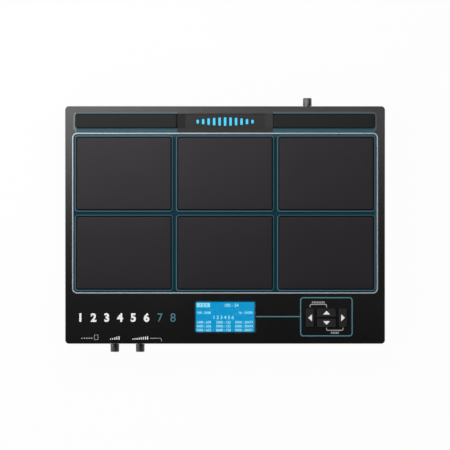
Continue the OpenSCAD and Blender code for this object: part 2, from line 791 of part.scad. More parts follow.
module bottom_case() {
    h = split_z - seam_h - foot_h;
    pillars = concat(case_posts, tray_pillars);
    standoffs = concat(main_standoffs, front_standoffs);
    color([0.08, 0.08, 0.09]) difference() {
        union() {
            difference() {
                union() {
                    translate([0, 0, foot_h + h]) mirror([0, 0, 1])
                        crowned_slab(body_w, body_d, h, corner_r, floor_edge);
                    slab(body_w - 2 * seam_depth, body_d - 2 * seam_depth, corner_r - seam_depth,
                         foot_h + h - eps, split_z);
                }
                slab(body_w - 2 * wall, body_d - 2 * wall, corner_r - wall, floor_top, split_z + cut);
            }
            for (p = pillars) post(p, pillar_r, floor_top - eps, split_z);
            for (p = standoffs) post(p, standoff_r, floor_top - eps, board_base);
            for (p = insert_places)
                post(p, insert_r + insert_wall, floor_top - eps, foot_h + insert_l + insert_wall);
            for (p = foot_places) post(p, foot_r + foot_wall, floor_top - eps, floor_top + foot_seat);
            at_pockets() rod_y(pocket_r + pocket_wall, -wall, pocket_depth - wall / 2);
        }
        wall_holes();
        for (p = pillars) {
            post(p, case_head_r + screw_clear, foot_h - cut, split_z - clamp_t);
            post(p, case_screw_r + screw_clear, foot_h, split_z + cut);
        }
        for (p = standoffs)
            post(p, small_screw_r + screw_clear, board_top - small_screw_l - hole_spare, board_base + cut);
        for (p = insert_places) post(p, insert_r + screw_clear, foot_h - cut, foot_h + insert_l);
        for (p = foot_places) post(p, foot_r + socket_clear, foot_h - cut, foot_h + foot_seat);
    }
}

// Trim ring and light guides

module pad_trim_ring() {
    low = deck_z - ring_seat;
    high = deck_z + ring_rise;
    color([0.72, 0.73, 0.75]) translate([0, field_y, 0]) difference() {
        slab(ring_out_w, ring_out_d, ring_r + ring_w, low, high);
        slab(ring_in_w, ring_in_d, ring_r, low - cut, high + cut);
    }
}

// One clear moulding: a plate under the whole field and a rim that stands up round each pad, its outer
// edge rounded
module pad_light_guide() {
    window_r = pad_r + pad_clear;
    color([0.25, 0.55, 0.62]) difference() {
        union() {
            block([-guide_w / 2, guide_front, guide_base], [guide_w / 2, guide_rear, guide_top]);
            for (n = [1 : pad_count]) at_pad(n) translate([0, 0, guide_top - eps])
                crowned_slab(cell_w, cell_d, deck_z + rim_rise - guide_top + eps, window_r + rim_w,
                             edge_for(rim_edge, rim_w));
        }
        for (n = [1 : pad_count]) at_pad(n)
            slab(pad_w + 2 * pad_clear, pad_d + 2 * pad_clear, window_r, guide_base - cut,
                 deck_z + rim_rise + cut);
    }
}

// Two clear frames, open towards the recess, each round one strip
module strip_light_guides() {
    high = deck_z + slot_clear;
    color([0.25, 0.55, 0.62]) for (side = [0, 1]) mirror([side, 0, 0]) difference() {
        translate([0, slot_y, 0])
            round_ended(slot_in + slot_clear, slot_out - slot_clear, slot_d - 2 * slot_clear,
                        strip_guide_r, guide_base, high);
        translate([0, strip_y, 0])
            round_ended(slot_in - cut, strip_out + strip_clear, strip_d + 2 * strip_clear,
                        strip_pocket_r, guide_base - cut, high + cut);
    }
}

// Pads and strips

// Rubber block with a rounded face and a holding flange
module rubber(w, d, r, flange, rise) {
    translate([0, 0, rubber_base])
        crowned_slab(w, d, deck_z + rise - rubber_base, r, edge_for(pad_edge, r));
    slab(w + 2 * flange, d + 2 * flange, r + flange, rubber_base, flange_top);
}

// Steel plate bonded under the rubber, with the piezo disc that hears the stroke
module sensor_plate(w, d, r, disc_r) {
    slab(w - 2 * plate_inset, d - 2 * plate_inset, r, plate_base, rubber_base);
    translate([0, 0, plate_base - piezo_t]) cylinder(r = disc_r, h = piezo_t + eps);
}

// Foam band between plate and tray, open in the middle for the disc
module cushion(w, d) {
    foam_inset = 1;
    out_w = w - 2 * (plate_inset + foam_inset);
    out_d = d - 2 * (plate_inset + foam_inset);
    difference() {
        slab(out_w, out_d, pad_r, tray_top, plate_base);
        slab(out_w - 2 * foam_band, out_d - 2 * foam_band, pad_r, tray_top - cut, plate_base + cut);
    }
}

module pad(n) {
    color([0.20, 0.20, 0.22]) at_pad(n) rubber(pad_w, pad_d, pad_r, pad_flange, pad_rise);
}
module pad_plate(n) {
    color([0.62, 0.62, 0.60]) at_pad(n) sensor_plate(pad_w, pad_d, pad_r, piezo_r);
}
module pad_cushions() {
    color([0.30, 0.30, 0.30]) for (n = [1 : pad_count]) at_pad(n) cushion(pad_w, pad_d);
}
module strip(s) {
    color([0.20, 0.21, 0.22]) at_strip(s) rubber(strip_w, strip_d, strip_r, strip_flange, strip_rise);
}
module strip_plate(s) {
    color([0.62, 0.62, 0.60]) at_strip(s) sensor_plate(strip_w, strip_d, strip_r, strip_disc_r);
}
module strip_cushions() {
    disc_room = 2;
    color([0.30, 0.30, 0.30]) for (s = [0, 1]) at_strip(s) difference() {
        slab(strip_w - 2 * plate_inset, strip_d - 2 * plate_inset, strip_r, tray_top, plate_base);
        slab(2 * (strip_disc_r + disc_room), strip_d, strip_r, tray_top - cut, plate_base + cut);
    }
}

// Ear for a screw on the tray's edge
module tray_ear(p) {
    post(p, ear_r, tray_base, tray_top);
    block([p[0] - ear_r, p[1], tray_base], [p[0] + ear_r, p[1] + ear_r + eps, tray_top]);
}

// Egg-crate tray: one pocket for each pad and strip, ears for its screws, bosses on the pillars
module pad_tray() {
    wire_r = 4;
    wire_x = piezo_r + 2 * wire_r;
    color([0.16, 0.16, 0.17]) difference() {
        union() {
            block([-tray_half_w, tray_front, tray_base], [tray_half_w, tray_mid, guide_base]);
            for (s = [0, 1]) at_strip(s)
                block([-strip_tray_w / 2 - tray_wall, tray_mid - strip_y - cut, tray_base],
                      [strip_tray_w / 2 + tray_wall, strip_tray_d / 2 + tray_wall, guide_base]);
            block([-recess_w / 2, tray_mid - cut, tray_base], [recess_w / 2, strip_y, tray_top]);
            for (p = tray_ears) tray_ear(p);
            for (p = tray_pillars) post(p, pillar_r, split_z, tray_base + eps);
        }
        for (n = [1 : pad_count]) at_pad(n) {
            slab(pocket_w, pocket_d, pad_r + pad_flange, tray_top, guide_base + cut);
            post([wire_x, 0], wire_r, tray_base - cut, tray_top + cut);
        }
        for (s = [0, 1]) at_strip(s) {
            slab(strip_tray_w, strip_tray_d, strip_r + strip_flange, tray_top, guide_base + cut);
            post([0, 0], wire_r, tray_base - cut, tray_top + cut);
        }
        for (p = tray_ears) post(p, small_screw_r + screw_clear, tray_base - cut, tray_top + cut);
        for (p = tray_pillars)
            post(p, case_screw_r + screw_clear, split_z - cut, split_z + screw_bite + hole_spare);
    }
}

// Display

module display_window() {
    window_r = 1;
    color([0.75, 0.85, 0.90, 0.4]) translate([0, display_y, 0])
        slab(view_w + 2 * window_lap, view_d + 2 * window_lap, window_r, window_base, under_deck);
}
module lcd_panel() {
    panel_room = 0.2;
    panel_r = 0.5;
    inset = frame_sheet + panel_room;
    color([0.02, 0.45, 0.75]) translate([0, display_y, 0])
        slab(module_w - 2 * inset, module_d - 2 * inset, panel_r, control_top, panel_top);
}
// Sheet-metal frame that clamps the panel to its board, open over the visible part
module lcd_frame() {
    frame_r = 1;
    fold_r = 0.6;
    frame_lip = 1;
    color([0.35, 0.35, 0.36]) translate([0, display_y, 0]) difference() {
        slab(module_w, module_d, frame_r, control_top, window_base);
        slab(module_w - 2 * frame_sheet, module_d - 2 * frame_sheet, fold_r, control_top - cut, panel_top);
        slab(view_w + 2 * frame_lip, view_d + 2 * frame_lip, fold_r, control_top - cut, window_base + cut);
    }
}

// Boards

module header(x, y, base, h) {
    block([x - header_w / 2, y - header_d / 2, base], [x + header_w / 2, y + header_d / 2, base + h]);
}

module control_board() {
    color([0.10, 0.35, 0.18]) difference() {
        union() {
            block([control_left, control_front, control_base], [module_w / 2, control_rear, control_top]);
            block([control_left, control_front, control_base], [control_right, key_board_rear, control_top]);
            header(display_ribbon_x, display_ribbon_y, control_base - header_h, header_h + eps);
        }
        for (p = control_posts) post(p, small_screw_r + screw_clear, control_base - cut, control_top + cut);
        for (p = case_posts) post(p, post_r + pillar_room, control_base - cut, control_top + cut);
    }
}
module tact_switches() {
    tact_floor = 0.4;
    color([0.12, 0.12, 0.12]) for (k = [0 : 3]) at_key(k) difference() {
        block([-tact_w / 2, -tact_w / 2, control_top], [tact_w / 2, tact_w / 2, tact_top]);
        post([0, 0], key_stem_r + key_stop_gap, control_top + tact_floor, tact_top + cut);
    }
}
// Main board, with its processor, two reservoir capacitors and the ribbons' headers
module main_board() {
    chip = 18;
    chip_t = 1.6;
    chip_x = (midi_x + trigger_xs[0]) / 2;
    chip_front = main_front + board_edge;
    cap_r = 4;
    cap_h = 10;
    cap_pitch = 12;
    cap_y = main_front + 4 * cap_r;
    color([0.10, 0.35, 0.18]) difference() {
        union() {
            block([main_left, main_front, board_base], [main_right, main_rear, board_top]);
            block([chip_x - chip / 2, chip_front, board_top - eps],
                  [chip_x + chip / 2, chip_front + chip, board_top + chip_t]);
            for (side = [-1, 1])
                post([inlet_x + side * cap_pitch / 2, cap_y], cap_r, board_top - eps, board_top + cap_h);
            for (x = [display_ribbon_x, front_ribbon_x]) header(x, ribbon_end_y, board_top - eps, header_h);
        }
        for (p = main_standoffs) post(p, small_screw_r + screw_clear, board_base - cut, board_top + cut);
        for (p = case_posts) post(p, pillar_r + pillar_room, board_base - cut, board_top + cut);
    }
}
module front_board() {
    color([0.10, 0.35, 0.18]) difference() {
        union() {
            block([front_left, front_front, board_base], [front_right, front_rear, board_top]);
            header(front_ribbon_x, front_ribbon_y, board_top - eps, header_h);
        }
        for (p = front_standoffs) post(p, small_screw_r + screw_clear, board_base - cut, board_top + cut);
        for (p = case_posts) post(p, pillar_r + pillar_room, board_base - cut, board_top + cut);
    }
}

// Light boards stand against the front edge of the light guide, four lamps on each
module light_boards() {
    thick = 1;
    board_l = 34;
    ear_gap = 8.2;
    lamp_w = 3;
    lamp_h = 2.6;
    lamp_pitch = 8;
    lamp_depth = 1;
    lamp_gap = 0.3;
    lamp_face = guide_front - lamp_gap;
    back = lamp_face - lamp_depth;
    left = ear_x - ear_step - ear_r - ear_gap - board_l;
    color([0.85, 0.85, 0.80]) for (half = [0, 1]) mirror([half, 0, 0]) {
        block([left, back - thick, guide_base], [left + board_l, back, under_deck]);
        for (i = [0 : 3]) translate([left + lamp_w + i * lamp_pitch, 0, 0])
            block([0, back - eps, guide_top - lamp_h], [lamp_w, lamp_face, guide_top]);
    }
}

// Flat ribbons: a bent strip in section, mitred at its bends and drawn along X
function unit(v) = v / norm(v);
function run_way(path, i) = let (k = min(max(i, 0), len(path) - 2)) unit(path[k + 1] - path[k]);
function mitre(path, i) =
    let (before = run_way(path, i - 1), middle = unit(before + run_way(path, i)))
    [-middle[1], middle[0]] / (middle * before);
module ribbon(x, path) {
    width = 18;
    thick = 0.9;
    last = len(path) - 1;
    translate([x - width / 2, 0, 0]) rotate([90, 0, 90]) linear_extrude(width)
        polygon(concat([for (i = [0 : last]) path[i] + thick / 2 * mitre(path, i)],
                       [for (i = [0 : last]) path[last - i] - thick / 2 * mitre(path, last - i)]));
}
module ribbon_cables() {
    bend = 6;
    low = floor_top + cut;
    high = board_top + header_h;
    over = high + bend / 2;
    to_main = [[main_front - 2 * bend, low], [main_front - bend, low + bend], [main_front - bend / 2, over],
               [ribbon_end_y, over], [ribbon_end_y, high]];
    color([0.55, 0.55, 0.55]) {
        ribbon(display_ribbon_x, concat(
            [[display_ribbon_y, control_base - header_h], [display_ribbon_y, low + bend],
             [display_ribbon_y + bend, low]],
            to_main));
        ribbon(front_ribbon_x, concat(
            [[front_ribbon_y, high], [front_ribbon_y, over], [front_rear + bend / 2, over],
             [front_rear + bend, low + bend], [front_rear + 2 * bend, low]],
            to_main));
    }
}

// Sockets, drawn in their local frames

module jack() {
    shoulder = 1;
    tip = nut_t + bush_out;
    difference() {
        union() {
            box_y(jack_w, socket_face - jack_l, socket_face, -socket_h, jack_w / 2 - shoulder);
            rod_y(bush_r, socket_face - eps, tip);
        }
        rod_y(jack_r, tip - jack_depth, tip + cut);
    }
}
module nut() {
    difference() {
        rotate([-90, 0, 0]) cylinder(r = nut_af / 2 / cos(30), h = nut_t, $fn = 6);
        rod_y(bush_r + screw_clear, -cut, nut_t + cut);
    }
}
module phones_jack() {
    color([0.10, 0.10, 0.10]) at_phones() jack();
}
module trigger_jacks() {
    color([0.10, 0.10, 0.10]) at_jacks(trigger_xs) jack();
}
module output_jacks() {
    color([0.10, 0.10, 0.10]) at_jacks(output_xs) jack();
}
module jack_nuts() {
    color([0.70, 0.70, 0.72]) {
        at_phones() nut();
        at_jacks(concat(trigger_xs, output_xs)) nut();
    }
}

module dc_inlet() {
    side = 0.7;
    length = 11;
    pin_back = 1;
    half = inlet_nose_r + side;
    color([0.07, 0.07, 0.07]) at_rear(inlet_x) {
        difference() {
            union() {
                box_y(2 * half, socket_face - length, socket_face, -socket_h, half);
                rod_y(inlet_nose_r, socket_face - eps, 0);
            }
            rod_y(inlet_r, -inlet_depth, cut);
        }
        rod_y(inlet_pin_r, -inlet_depth - eps, -pin_back);
    }
}

module usb_port() {
    depth = 9;
    length = 16;
    lip = 0.3;
    tongue_back = 1;
    tongue_w = 5.6;
    tongue_h = 3;
    low = usb_shell - socket_h;
    high = usb_h - socket_h - usb_shell;
    mid = (low + high) / 2;
    color([0.70, 0.70, 0.72]) at_rear(usb_x) {
        difference() {
            box_y(usb_w, -length, -lip, -socket_h, usb_h - socket_h);
            box_y(usb_w - 2 * usb_shell, -lip - depth, cut, low, high);
        }
        box_y(tongue_w, -lip - depth - eps, -lip - tongue_back, mid - tongue_h / 2, mid + tongue_h / 2);
    }
}

module midi_socket() {
    lip = 0.3;
    sunk = 1;
    side = 1;
    length = 14;
    shell = 0.8;
    core_r = din_r - shell - din_groove;
    color([0.08, 0.08, 0.08]) at_rear(midi_x) difference() {
        union() {
            box_y(2 * (din_r + side), socket_face - length, socket_face, -socket_h, din_r + side);
            rod_y(din_r, socket_face - eps, -lip);
        }
        difference() {
            rod_y(core_r + din_groove, -lip - din_depth, cut);
            rod_y(core_r, -lip - din_depth - cut, -lip - sunk);
        }
        for (i = [0 : 4]) rotate([0, 180 + i * 45, 0]) translate([din_pin_ring, 0, 0])
            rod_y(din_hole_r, -lip - din_depth, cut);
    }
}

module power_switch() {
    length = 12;
    high = 5;
    color([0.10, 0.10, 0.10]) at_power() difference() {
        box_y(power_body_w, power_face - length, power_face, -socket_h, high);
        rod_y(power_stem_r + key_stop_gap, power_face - 3 * power_travel, power_face + cut);
    }
}
module power_button() {
    bevel = 0.5;
    stem_in = 4;
    color([0.14, 0.14, 0.15]) at_power() {
        rod_y(power_r, -power_back, power_out - bevel);
        translate([0, power_out - bevel - eps, 0]) rotate([-90, 0, 0])
            cylinder(r1 = power_r, r2 = power_r - bevel, h = bevel);
        rod_y(power_stem_r, power_face - stem_in, eps - power_back);
    }
}

module card_reader() {
    back = 1.5;
    high = 2 * card_shell + card_h - socket_h;
    color([0.70, 0.70, 0.72]) at_front(card_x) difference() {
        box_y(card_w + 2 * card_shell, socket_face - card_depth - back, socket_face, -socket_h, high);
        box_y(card_w, socket_face - card_depth, cut, card_z - card_h / 2, card_z + card_h / 2);
    }
}

// Knobs, shafts and potentiometers

module pot_bodies() {
    color([0.45, 0.45, 0.40]) for (k = [0 : 2]) at_knob(k) difference() {
        box_y(pot_w, pot_face - pot_l, pot_face, -socket_h, pot_w / 2);
        rod_y(shaft_r + shaft_clear, pot_face - shaft_in - hole_spare, pot_face + cut);
    }
}
// D-section: a round bar with a flat cut along its top
module d_bar(r, flat, y0, y1) {
    difference() {
        rod_y(r, y0, y1);
        box_y(2 * (r + cut), y0 - cut, y1 + cut, flat, r + cut);
    }
}
module shaft(k) {
    color([0.75, 0.75, 0.75]) at_knob(k) {
        rod_y(shaft_r, pot_face - shaft_in, knob_gap);
        d_bar(shaft_r, shaft_r - shaft_flat, knob_gap - eps, shaft_end);
    }
}
// Turned cap with a skirt, a slight taper, a chamfered end and flutes down to the skirt
module knob(k) {
    shoulder = 0.3;
    taper = 0.25;
    chamfer = 0.6;
    bore_r = shaft_r + shaft_clear;
    flute_start = knob_gap + knob_skirt + 2 * shoulder;
    color([0.06, 0.06, 0.06]) at_knob(k) difference() {
        translate([0, knob_gap, 0]) rotate([-90, 0, 0]) rotate_extrude()
            polygon([[0, 0], [knob_r, 0], [knob_r, knob_skirt],
                     [knob_tip_r + taper, knob_skirt + shoulder], [knob_tip_r, knob_l - chamfer],
                     [knob_tip_r - chamfer, knob_l], [0, knob_l]]);
        for (i = [0 : knob_flutes - 1]) rotate([0, i * 360 / knob_flutes, 0])
            translate([0, 0, knob_tip_r + flute_r / 2])
                rod_y(flute_r, flute_start, knob_gap + knob_l + cut);
        d_bar(bore_r, bore_r - shaft_flat, knob_gap - cut, shaft_end + socket_seat);
    }
}

// Keys

module key(k) {
    w = key_sizes[k][0];
    d = key_sizes[k][1];
    color([0.13, 0.13, 0.14]) at_key(k) {
        translate([0, 0, key_base])
            crowned_slab(w, d, deck_z + key_rise - key_base, key_r, edge_for(key_edge, key_r));
        slab(w + 2 * key_flange, d + 2 * key_flange, key_r, key_base, key_base + key_flange_t);
        post([0, 0], key_stem_r, tact_top - key_stem_in, key_base + eps);
    }
}

// Feet, inserts and screws

module feet() {
    high = foot_h + foot_seat;
    color([0.05, 0.05, 0.05]) for (p = foot_places) translate([p[0], p[1], 0]) rotate_extrude()
        polygon([[0, 0], [foot_r - foot_chamfer, 0], [foot_r, foot_chamfer], [foot_r, high], [0, high]]);
}
module mount_inserts() {
    end_wall = 1;
    color([0.80, 0.65, 0.30]) for (p = insert_places) difference() {
        post(p, insert_r, foot_h, foot_h + insert_l);
        post(p, insert_core_r, foot_h - cut, foot_h + insert_l - end_wall);
    }
}
// Pan-head screw pointing up, its head's bearing face at z
module screw_up(p, z, head_r, head_h, r, length) {
    post(p, head_r, z - head_h, z);
    post(p, r, z - eps, z + length);
}
module small_screw(p, z) {
    screw_up(p, z, small_head_r, small_head_h, small_screw_r, small_screw_l);
}
module case_screws() {
    color([0.15, 0.15, 0.15]) for (p = concat(case_posts, tray_pillars))
        screw_up(p, split_z - clamp_t, case_head_r, case_head_h, case_screw_r, clamp_t + screw_bite);
}
module small_screws() {
    color([0.70, 0.70, 0.72]) {
        for (p = tray_ears) small_screw(p, tray_base);
        for (p = control_posts) small_screw(p, control_base);
        for (p = concat(main_standoffs, front_standoffs)) translate([p[0], p[1], board_top])
            mirror([0, 0, 1]) small_screw([0, 0], 0);
    }
}

top_case();
bottom_case();
pad_trim_ring();
pad_light_guide();
strip_light_guides();
display_window();
lcd_panel();
lcd_frame();
control_board();
tact_switches();
main_board();
front_board();
phones_jack();
trigger_jacks();
output_jacks();
jack_nuts();
dc_inlet();
usb_port();
midi_socket();
power_switch();
power_button();
card_reader();
pot_bodies();
feet();
case_screws();
small_screws();
mount_inserts();
pad_tray();
light_boards();
ribbon_cables();
pad_cushions();
strip_cushions();
for (n = [1 : pad_count]) pad(n);
for (n = [1 : pad_count]) pad_plate(n);
for (s = [0, 1]) strip(s);
for (s = [0, 1]) strip_plate(s);
for (k = [0 : 3]) key(k);
for (k = [0 : 2]) knob(k);
for (k = [0 : 2]) shaft(k);
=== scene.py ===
"""The looks of an electronic percussion pad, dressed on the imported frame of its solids.

Lengths are in metres: X runs across, Y from the front edge to the rear edge, Z up from the table.
"""
import math

import bmesh
import bpy
from mathutils import Matrix, Vector


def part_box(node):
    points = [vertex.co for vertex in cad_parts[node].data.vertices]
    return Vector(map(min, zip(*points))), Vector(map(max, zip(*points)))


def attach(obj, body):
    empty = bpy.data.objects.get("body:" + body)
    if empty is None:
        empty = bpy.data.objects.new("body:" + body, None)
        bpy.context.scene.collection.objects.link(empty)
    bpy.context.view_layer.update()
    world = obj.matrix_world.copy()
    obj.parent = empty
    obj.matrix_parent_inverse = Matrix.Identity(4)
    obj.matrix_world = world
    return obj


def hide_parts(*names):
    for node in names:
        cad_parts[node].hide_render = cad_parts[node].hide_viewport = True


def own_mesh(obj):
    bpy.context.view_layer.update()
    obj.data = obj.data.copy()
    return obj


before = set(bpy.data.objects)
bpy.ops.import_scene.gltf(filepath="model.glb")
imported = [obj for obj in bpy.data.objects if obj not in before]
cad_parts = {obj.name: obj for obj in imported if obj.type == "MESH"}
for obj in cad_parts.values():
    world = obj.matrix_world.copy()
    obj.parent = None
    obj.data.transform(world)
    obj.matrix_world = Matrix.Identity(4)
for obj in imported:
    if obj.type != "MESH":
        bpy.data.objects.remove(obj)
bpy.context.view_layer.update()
mm = 0.001

# Camera: the photograph looks straight down on the deck with no perspective, and the rear edge
# is at the top of the picture.
scene = bpy.context.scene
scene.view_settings.view_transform = "Standard"
camera = bpy.data.objects.new("camera", bpy.data.cameras.new("camera"))
camera.data.type = "ORTHO"
camera.data.ortho_scale = 492.7 * mm
camera.location = (-0.1 * mm, 0, 1.5)
scene.collection.objects.link(camera)
scene.camera = camera


# Studio: a white table in a pale room that is lighter on the left and dark overhead. Two soft lamps
# over the rear edge lay the sheen that fades across the deck, two more stand at the left and the
# right, and a fill light over the front has no reflection of its own.
class Wire:
    """A socket of a shader tree that numbers and other sockets can be combined with."""

    def __init__(self, tree, socket=None):
        self.tree = tree
        self.socket = socket

    def feed(self, socket, value):
        if isinstance(value, Wire):
            self.tree.links.new(value.socket, socket)
        else:
            socket.default_value = value

    def node(self, kind, settings=(), sockets=(), out=0):
        made = self.tree.nodes.new(kind)
        for name, value in dict(settings).items():
            if name == "stops":
                made.color_ramp.elements[0].position = value[0][0]
                made.color_ramp.elements[1].position = value[-1][0]
                for stop in value[1:-1]:
                    made.color_ramp.elements.new(stop[0])
                for element, stop in zip(made.color_ramp.elements, value):
                    element.color = stop[1]
            else:
                setattr(made, name, value)
        for name, value in dict(sockets).items():
            self.feed(made.inputs[name], value)
        return Wire(self.tree, made.outputs[out])

    def math(self, operation, first, second):
        return self.node("ShaderNodeMath", {"operation": operation}, {0: first, 1: second})

    def __add__(self, other):
        return self.math("ADD", self, other)

    def __radd__(self, other):
        return self.math("ADD", other, self)

    def __sub__(self, other):
        return self.math("SUBTRACT", self, other)

    def __rsub__(self, other):
        return self.math("SUBTRACT", other, self)

    def __mul__(self, other):
        return self.math("MULTIPLY", self, other)

    def __rmul__(self, other):
        return self.math("MULTIPLY", other, self)

    def maximum(self, other):
        return self.math("MAXIMUM", self, other)

    def above(self, other):
        return self.math("GREATER_THAN", self, other)

    def size(self):
        return self.math("ABSOLUTE", self, 0.0)

    def along(self, axes):
        """The parts of a vector along the named axes."""
        return [self.node("ShaderNodeSeparateXYZ", (), {"Vector": self}, axis) for axis in axes]

    def noise(self, size, detail=2):
        """A cloudy pattern over these coordinates, with patches of about the given size."""
        return self.node("ShaderNodeTexNoise", (), {"Vector": self, "Scale": 1 / size, "Detail": detail})

    def bump(self, strength, distance):
        """A surface direction that follows this height."""
        return self.node("ShaderNodeBump", (), {"Height": self, "Strength": strength, "Distance": distance})

    def ramp(self, start, end):
        """A smooth rise from 0 to 1 between two values."""
        return self.node("ShaderNodeMapRange", {"interpolation_type": "SMOOTHSTEP"}, {
            "Value": self, "From Min": start, "From Max": end})

    def mix(self, first, second):
        """A colour between two others, this value being the share of the second."""
        return self.node("ShaderNodeMix", {"data_type": "RGBA"}, {0: self, 6: first, 7: second}, 2)


def seen_straight(wire):
    """1 for what the camera sees directly, in a mirror or through glass."""
    rays = [wire.node("ShaderNodeLightPath", (), (), "Is " + kind + " Ray")
            for kind in ("Camera", "Glossy", "Transmission")]
    return rays[0].maximum(rays[1]).maximum(rays[2])


room = bpy.data.worlds.new("room")
room.use_nodes = True
scene.world = room
room_wire = Wire(room.node_tree)
room_way = room_wire.node("ShaderNodeTexCoord", (), (), "Generated")
room_side, room_height = room_way.along("XZ")
room_tone = room_wire.node("ShaderNodeValToRGB", {"stops": (
    (0.48, (1.0, 1.0, 1.0, 1)), (0.50, (0.80, 0.80, 0.81, 1)), (0.66, (0.26, 0.26, 0.27, 1)),
    (0.85, (0.01, 0.01, 0.011, 1)))}, {"Fac": 0.5 + 0.5 * room_height})
room_wire.feed(room.node_tree.nodes["Background"].inputs["Color"], room_tone)
room_wire.feed(room.node_tree.nodes["Background"].inputs["Strength"],
               1 - room_height.above(-0.02) * (0.05 + 0.55 * room_side))

table_half = 3.0
table_bm = bmesh.new()
bmesh.ops.create_grid(table_bm, x_segments=1, y_segments=1, size=table_half)
table_mesh = bpy.data.meshes.new("table")
table_bm.to_mesh(table_mesh)
table_bm.free()
table = bpy.data.objects.new("table", table_mesh)
scene.collection.objects.link(table)
table_white = bpy.data.materials.new("table_white")
table_white.use_nodes = True
table_tree = table_white.node_tree
table_wire = Wire(table_tree)
table_tree.nodes["Principled BSDF"].inputs["Base Color"].default_value = (0.86, 0.86, 0.86, 1)
table_tree.nodes["Principled BSDF"].inputs["Roughness"].default_value = 0.9
table_glow = table_wire.node("ShaderNodeEmission", (), {"Color": (1, 1, 1, 1), "Strength": 1.0})
table_shader = Wire(table_tree, table_tree.nodes["Principled BSDF"].outputs[0])
table_mixed = table_wire.node("ShaderNodeMixShader", (), {
    0: 0.965 * seen_straight(table_wire), 1: table_shader, 2: table_glow})
table_wire.feed(table_tree.nodes["Material Output"].inputs["Surface"], table_mixed)
table_mesh.materials.append(table_white)

for lamp_name, lamp_place, lamp_aim, lamp_size, lamp_power, lamp_shows in (
        ("rear_left_lamp", (-0.20, 0.19, 0.42), (-0.20, 0.17, 0.0), (0.30, 0.24), 1.22, True),
        ("rear_right_lamp", (0.10, 0.19, 0.42), (0.10, 0.17, 0.0), (0.30, 0.24), 0.48, True),
        ("right_lamp", (0.40, -0.06, 0.40), (0.05, 0.0, 0.05), (0.20, 0.36), 0.24, True),
        ("left_lamp", (-0.68, -0.20, 0.42), (0.0, 0.0, 0.05), (1.20, 0.32), 2.4, True),
        ("fill_lamp", (0.25, -0.50, 0.75), (0.05, -0.05, 0.05), (0.80, 0.40), 1.8, False)):
    lamp = bpy.data.objects.new(lamp_name, bpy.data.lights.new(lamp_name, "AREA"))
    lamp.data.shape = "RECTANGLE"
    lamp.data.size, lamp.data.size_y = lamp_size
    lamp.data.energy = lamp_power
    lamp.visible_glossy = lamp_shows
    lamp.location = lamp_place
    lamp.rotation_euler = (Vector(lamp_aim) - lamp.location).to_track_quat("-Z", "Y").to_euler()
    scene.collection.objects.link(lamp)


# Lower case: a black plastic tray with a floor and walls, moulded in one with its screw pillars.
# Its face is spark-eroded, so it is duller than the deck. The upper case is screwed to it from below.
def tint(colour, share):
    """A darker or lighter share of a colour."""
    return tuple(share * part for part in colour[:3]) + (1,)


def paint(material, sockets):
    """Sets or links the sockets of a material's main shader."""
    shader = material.node_tree.nodes["Principled BSDF"]
    for name, value in sockets.items():
        Wire(material.node_tree).feed(shader.inputs[name], value)


def new_finish(name):
    """A new material, and the coordinates that its patterns are laid out on."""
    material = bpy.data.materials.new(name)
    material.use_nodes = True
    return material, Wire(material.node_tree).node("ShaderNodeTexCoord", (), (), "Object")


def moulded(name, colour, gloss, grain, depth, **steady):
    """Moulded plastic or rubber: a fine grain from the tool's face and a slightly patchy gloss."""
    material, place = new_finish(name)
    broad = place.noise(45 * mm, 4)
    dust = place.noise(3 * mm, 5)
    paint(material, {
        "Base Color": (0.6 * broad + 0.4 * dust).mix(tint(colour, 0.8), tint(colour, 1.2)),
        "Roughness": gloss + 0.14 * (broad - 0.5) + 0.10 * (dust - 0.5),
        "Normal": place.noise(grain, 3).bump(0.5, depth),
        **steady})
    return material


def dress(material, *nodes):
    """Gives the solids of some nodes their material."""
    for node in nodes:
        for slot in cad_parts[node].material_slots:
            slot.material = material


base_plastic = moulded("base_plastic", (0.014, 0.014, 0.015), 0.55, 0.7 * mm, 0.02 * mm)
dress(base_plastic, "bottom_case")


# Feet: four discs of soft black rubber with a rounded edge and a ring groove for grip. They are
# moulded, and pressed into round seats in the floor.
def lathe(bm, profile, place, turns=48):
    """Spins a profile of (radius, height) points in millimetres about Z, and moves it to its place."""
    before = set(bm.verts)
    points = [bm.verts.new((radius * mm, 0, height * mm)) for radius, height in profile]
    lines = [bm.edges.new(pair) for pair in zip(points, points[1:])]
    bmesh.ops.spin(bm, geom=points + lines, axis=(0, 0, 1), angle=2 * math.pi, steps=turns, use_merge=True)
    fresh = [vert for vert in bm.verts if vert not in before]
    bmesh.ops.transform(bm, matrix=place, verts=fresh)
    return fresh


def add_piece(name, bm, material, body, slot, *nodes):
    """Finishes a mesh as a piece that rides a body and stands for the solids of some nodes."""
    bmesh.ops.remove_doubles(bm, verts=bm.verts, dist=0.001 * mm)
    bmesh.ops.recalc_face_normals(bm, faces=bm.faces)
    mesh = bpy.data.meshes.new(name)
    bm.to_mesh(mesh)
    bm.free()
    mesh.shade_smooth()
    mesh.set_sharp_from_angle(angle=math.radians(40))
    mesh.materials.append(material)
    made = bpy.data.objects.new(name, mesh)
    scene.collection.objects.link(made)
    made.modifiers.new("even_shading", "WEIGHTED_NORMAL").keep_sharp = True
    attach(made, body)
    if nodes:
        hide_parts(*nodes)
    return made


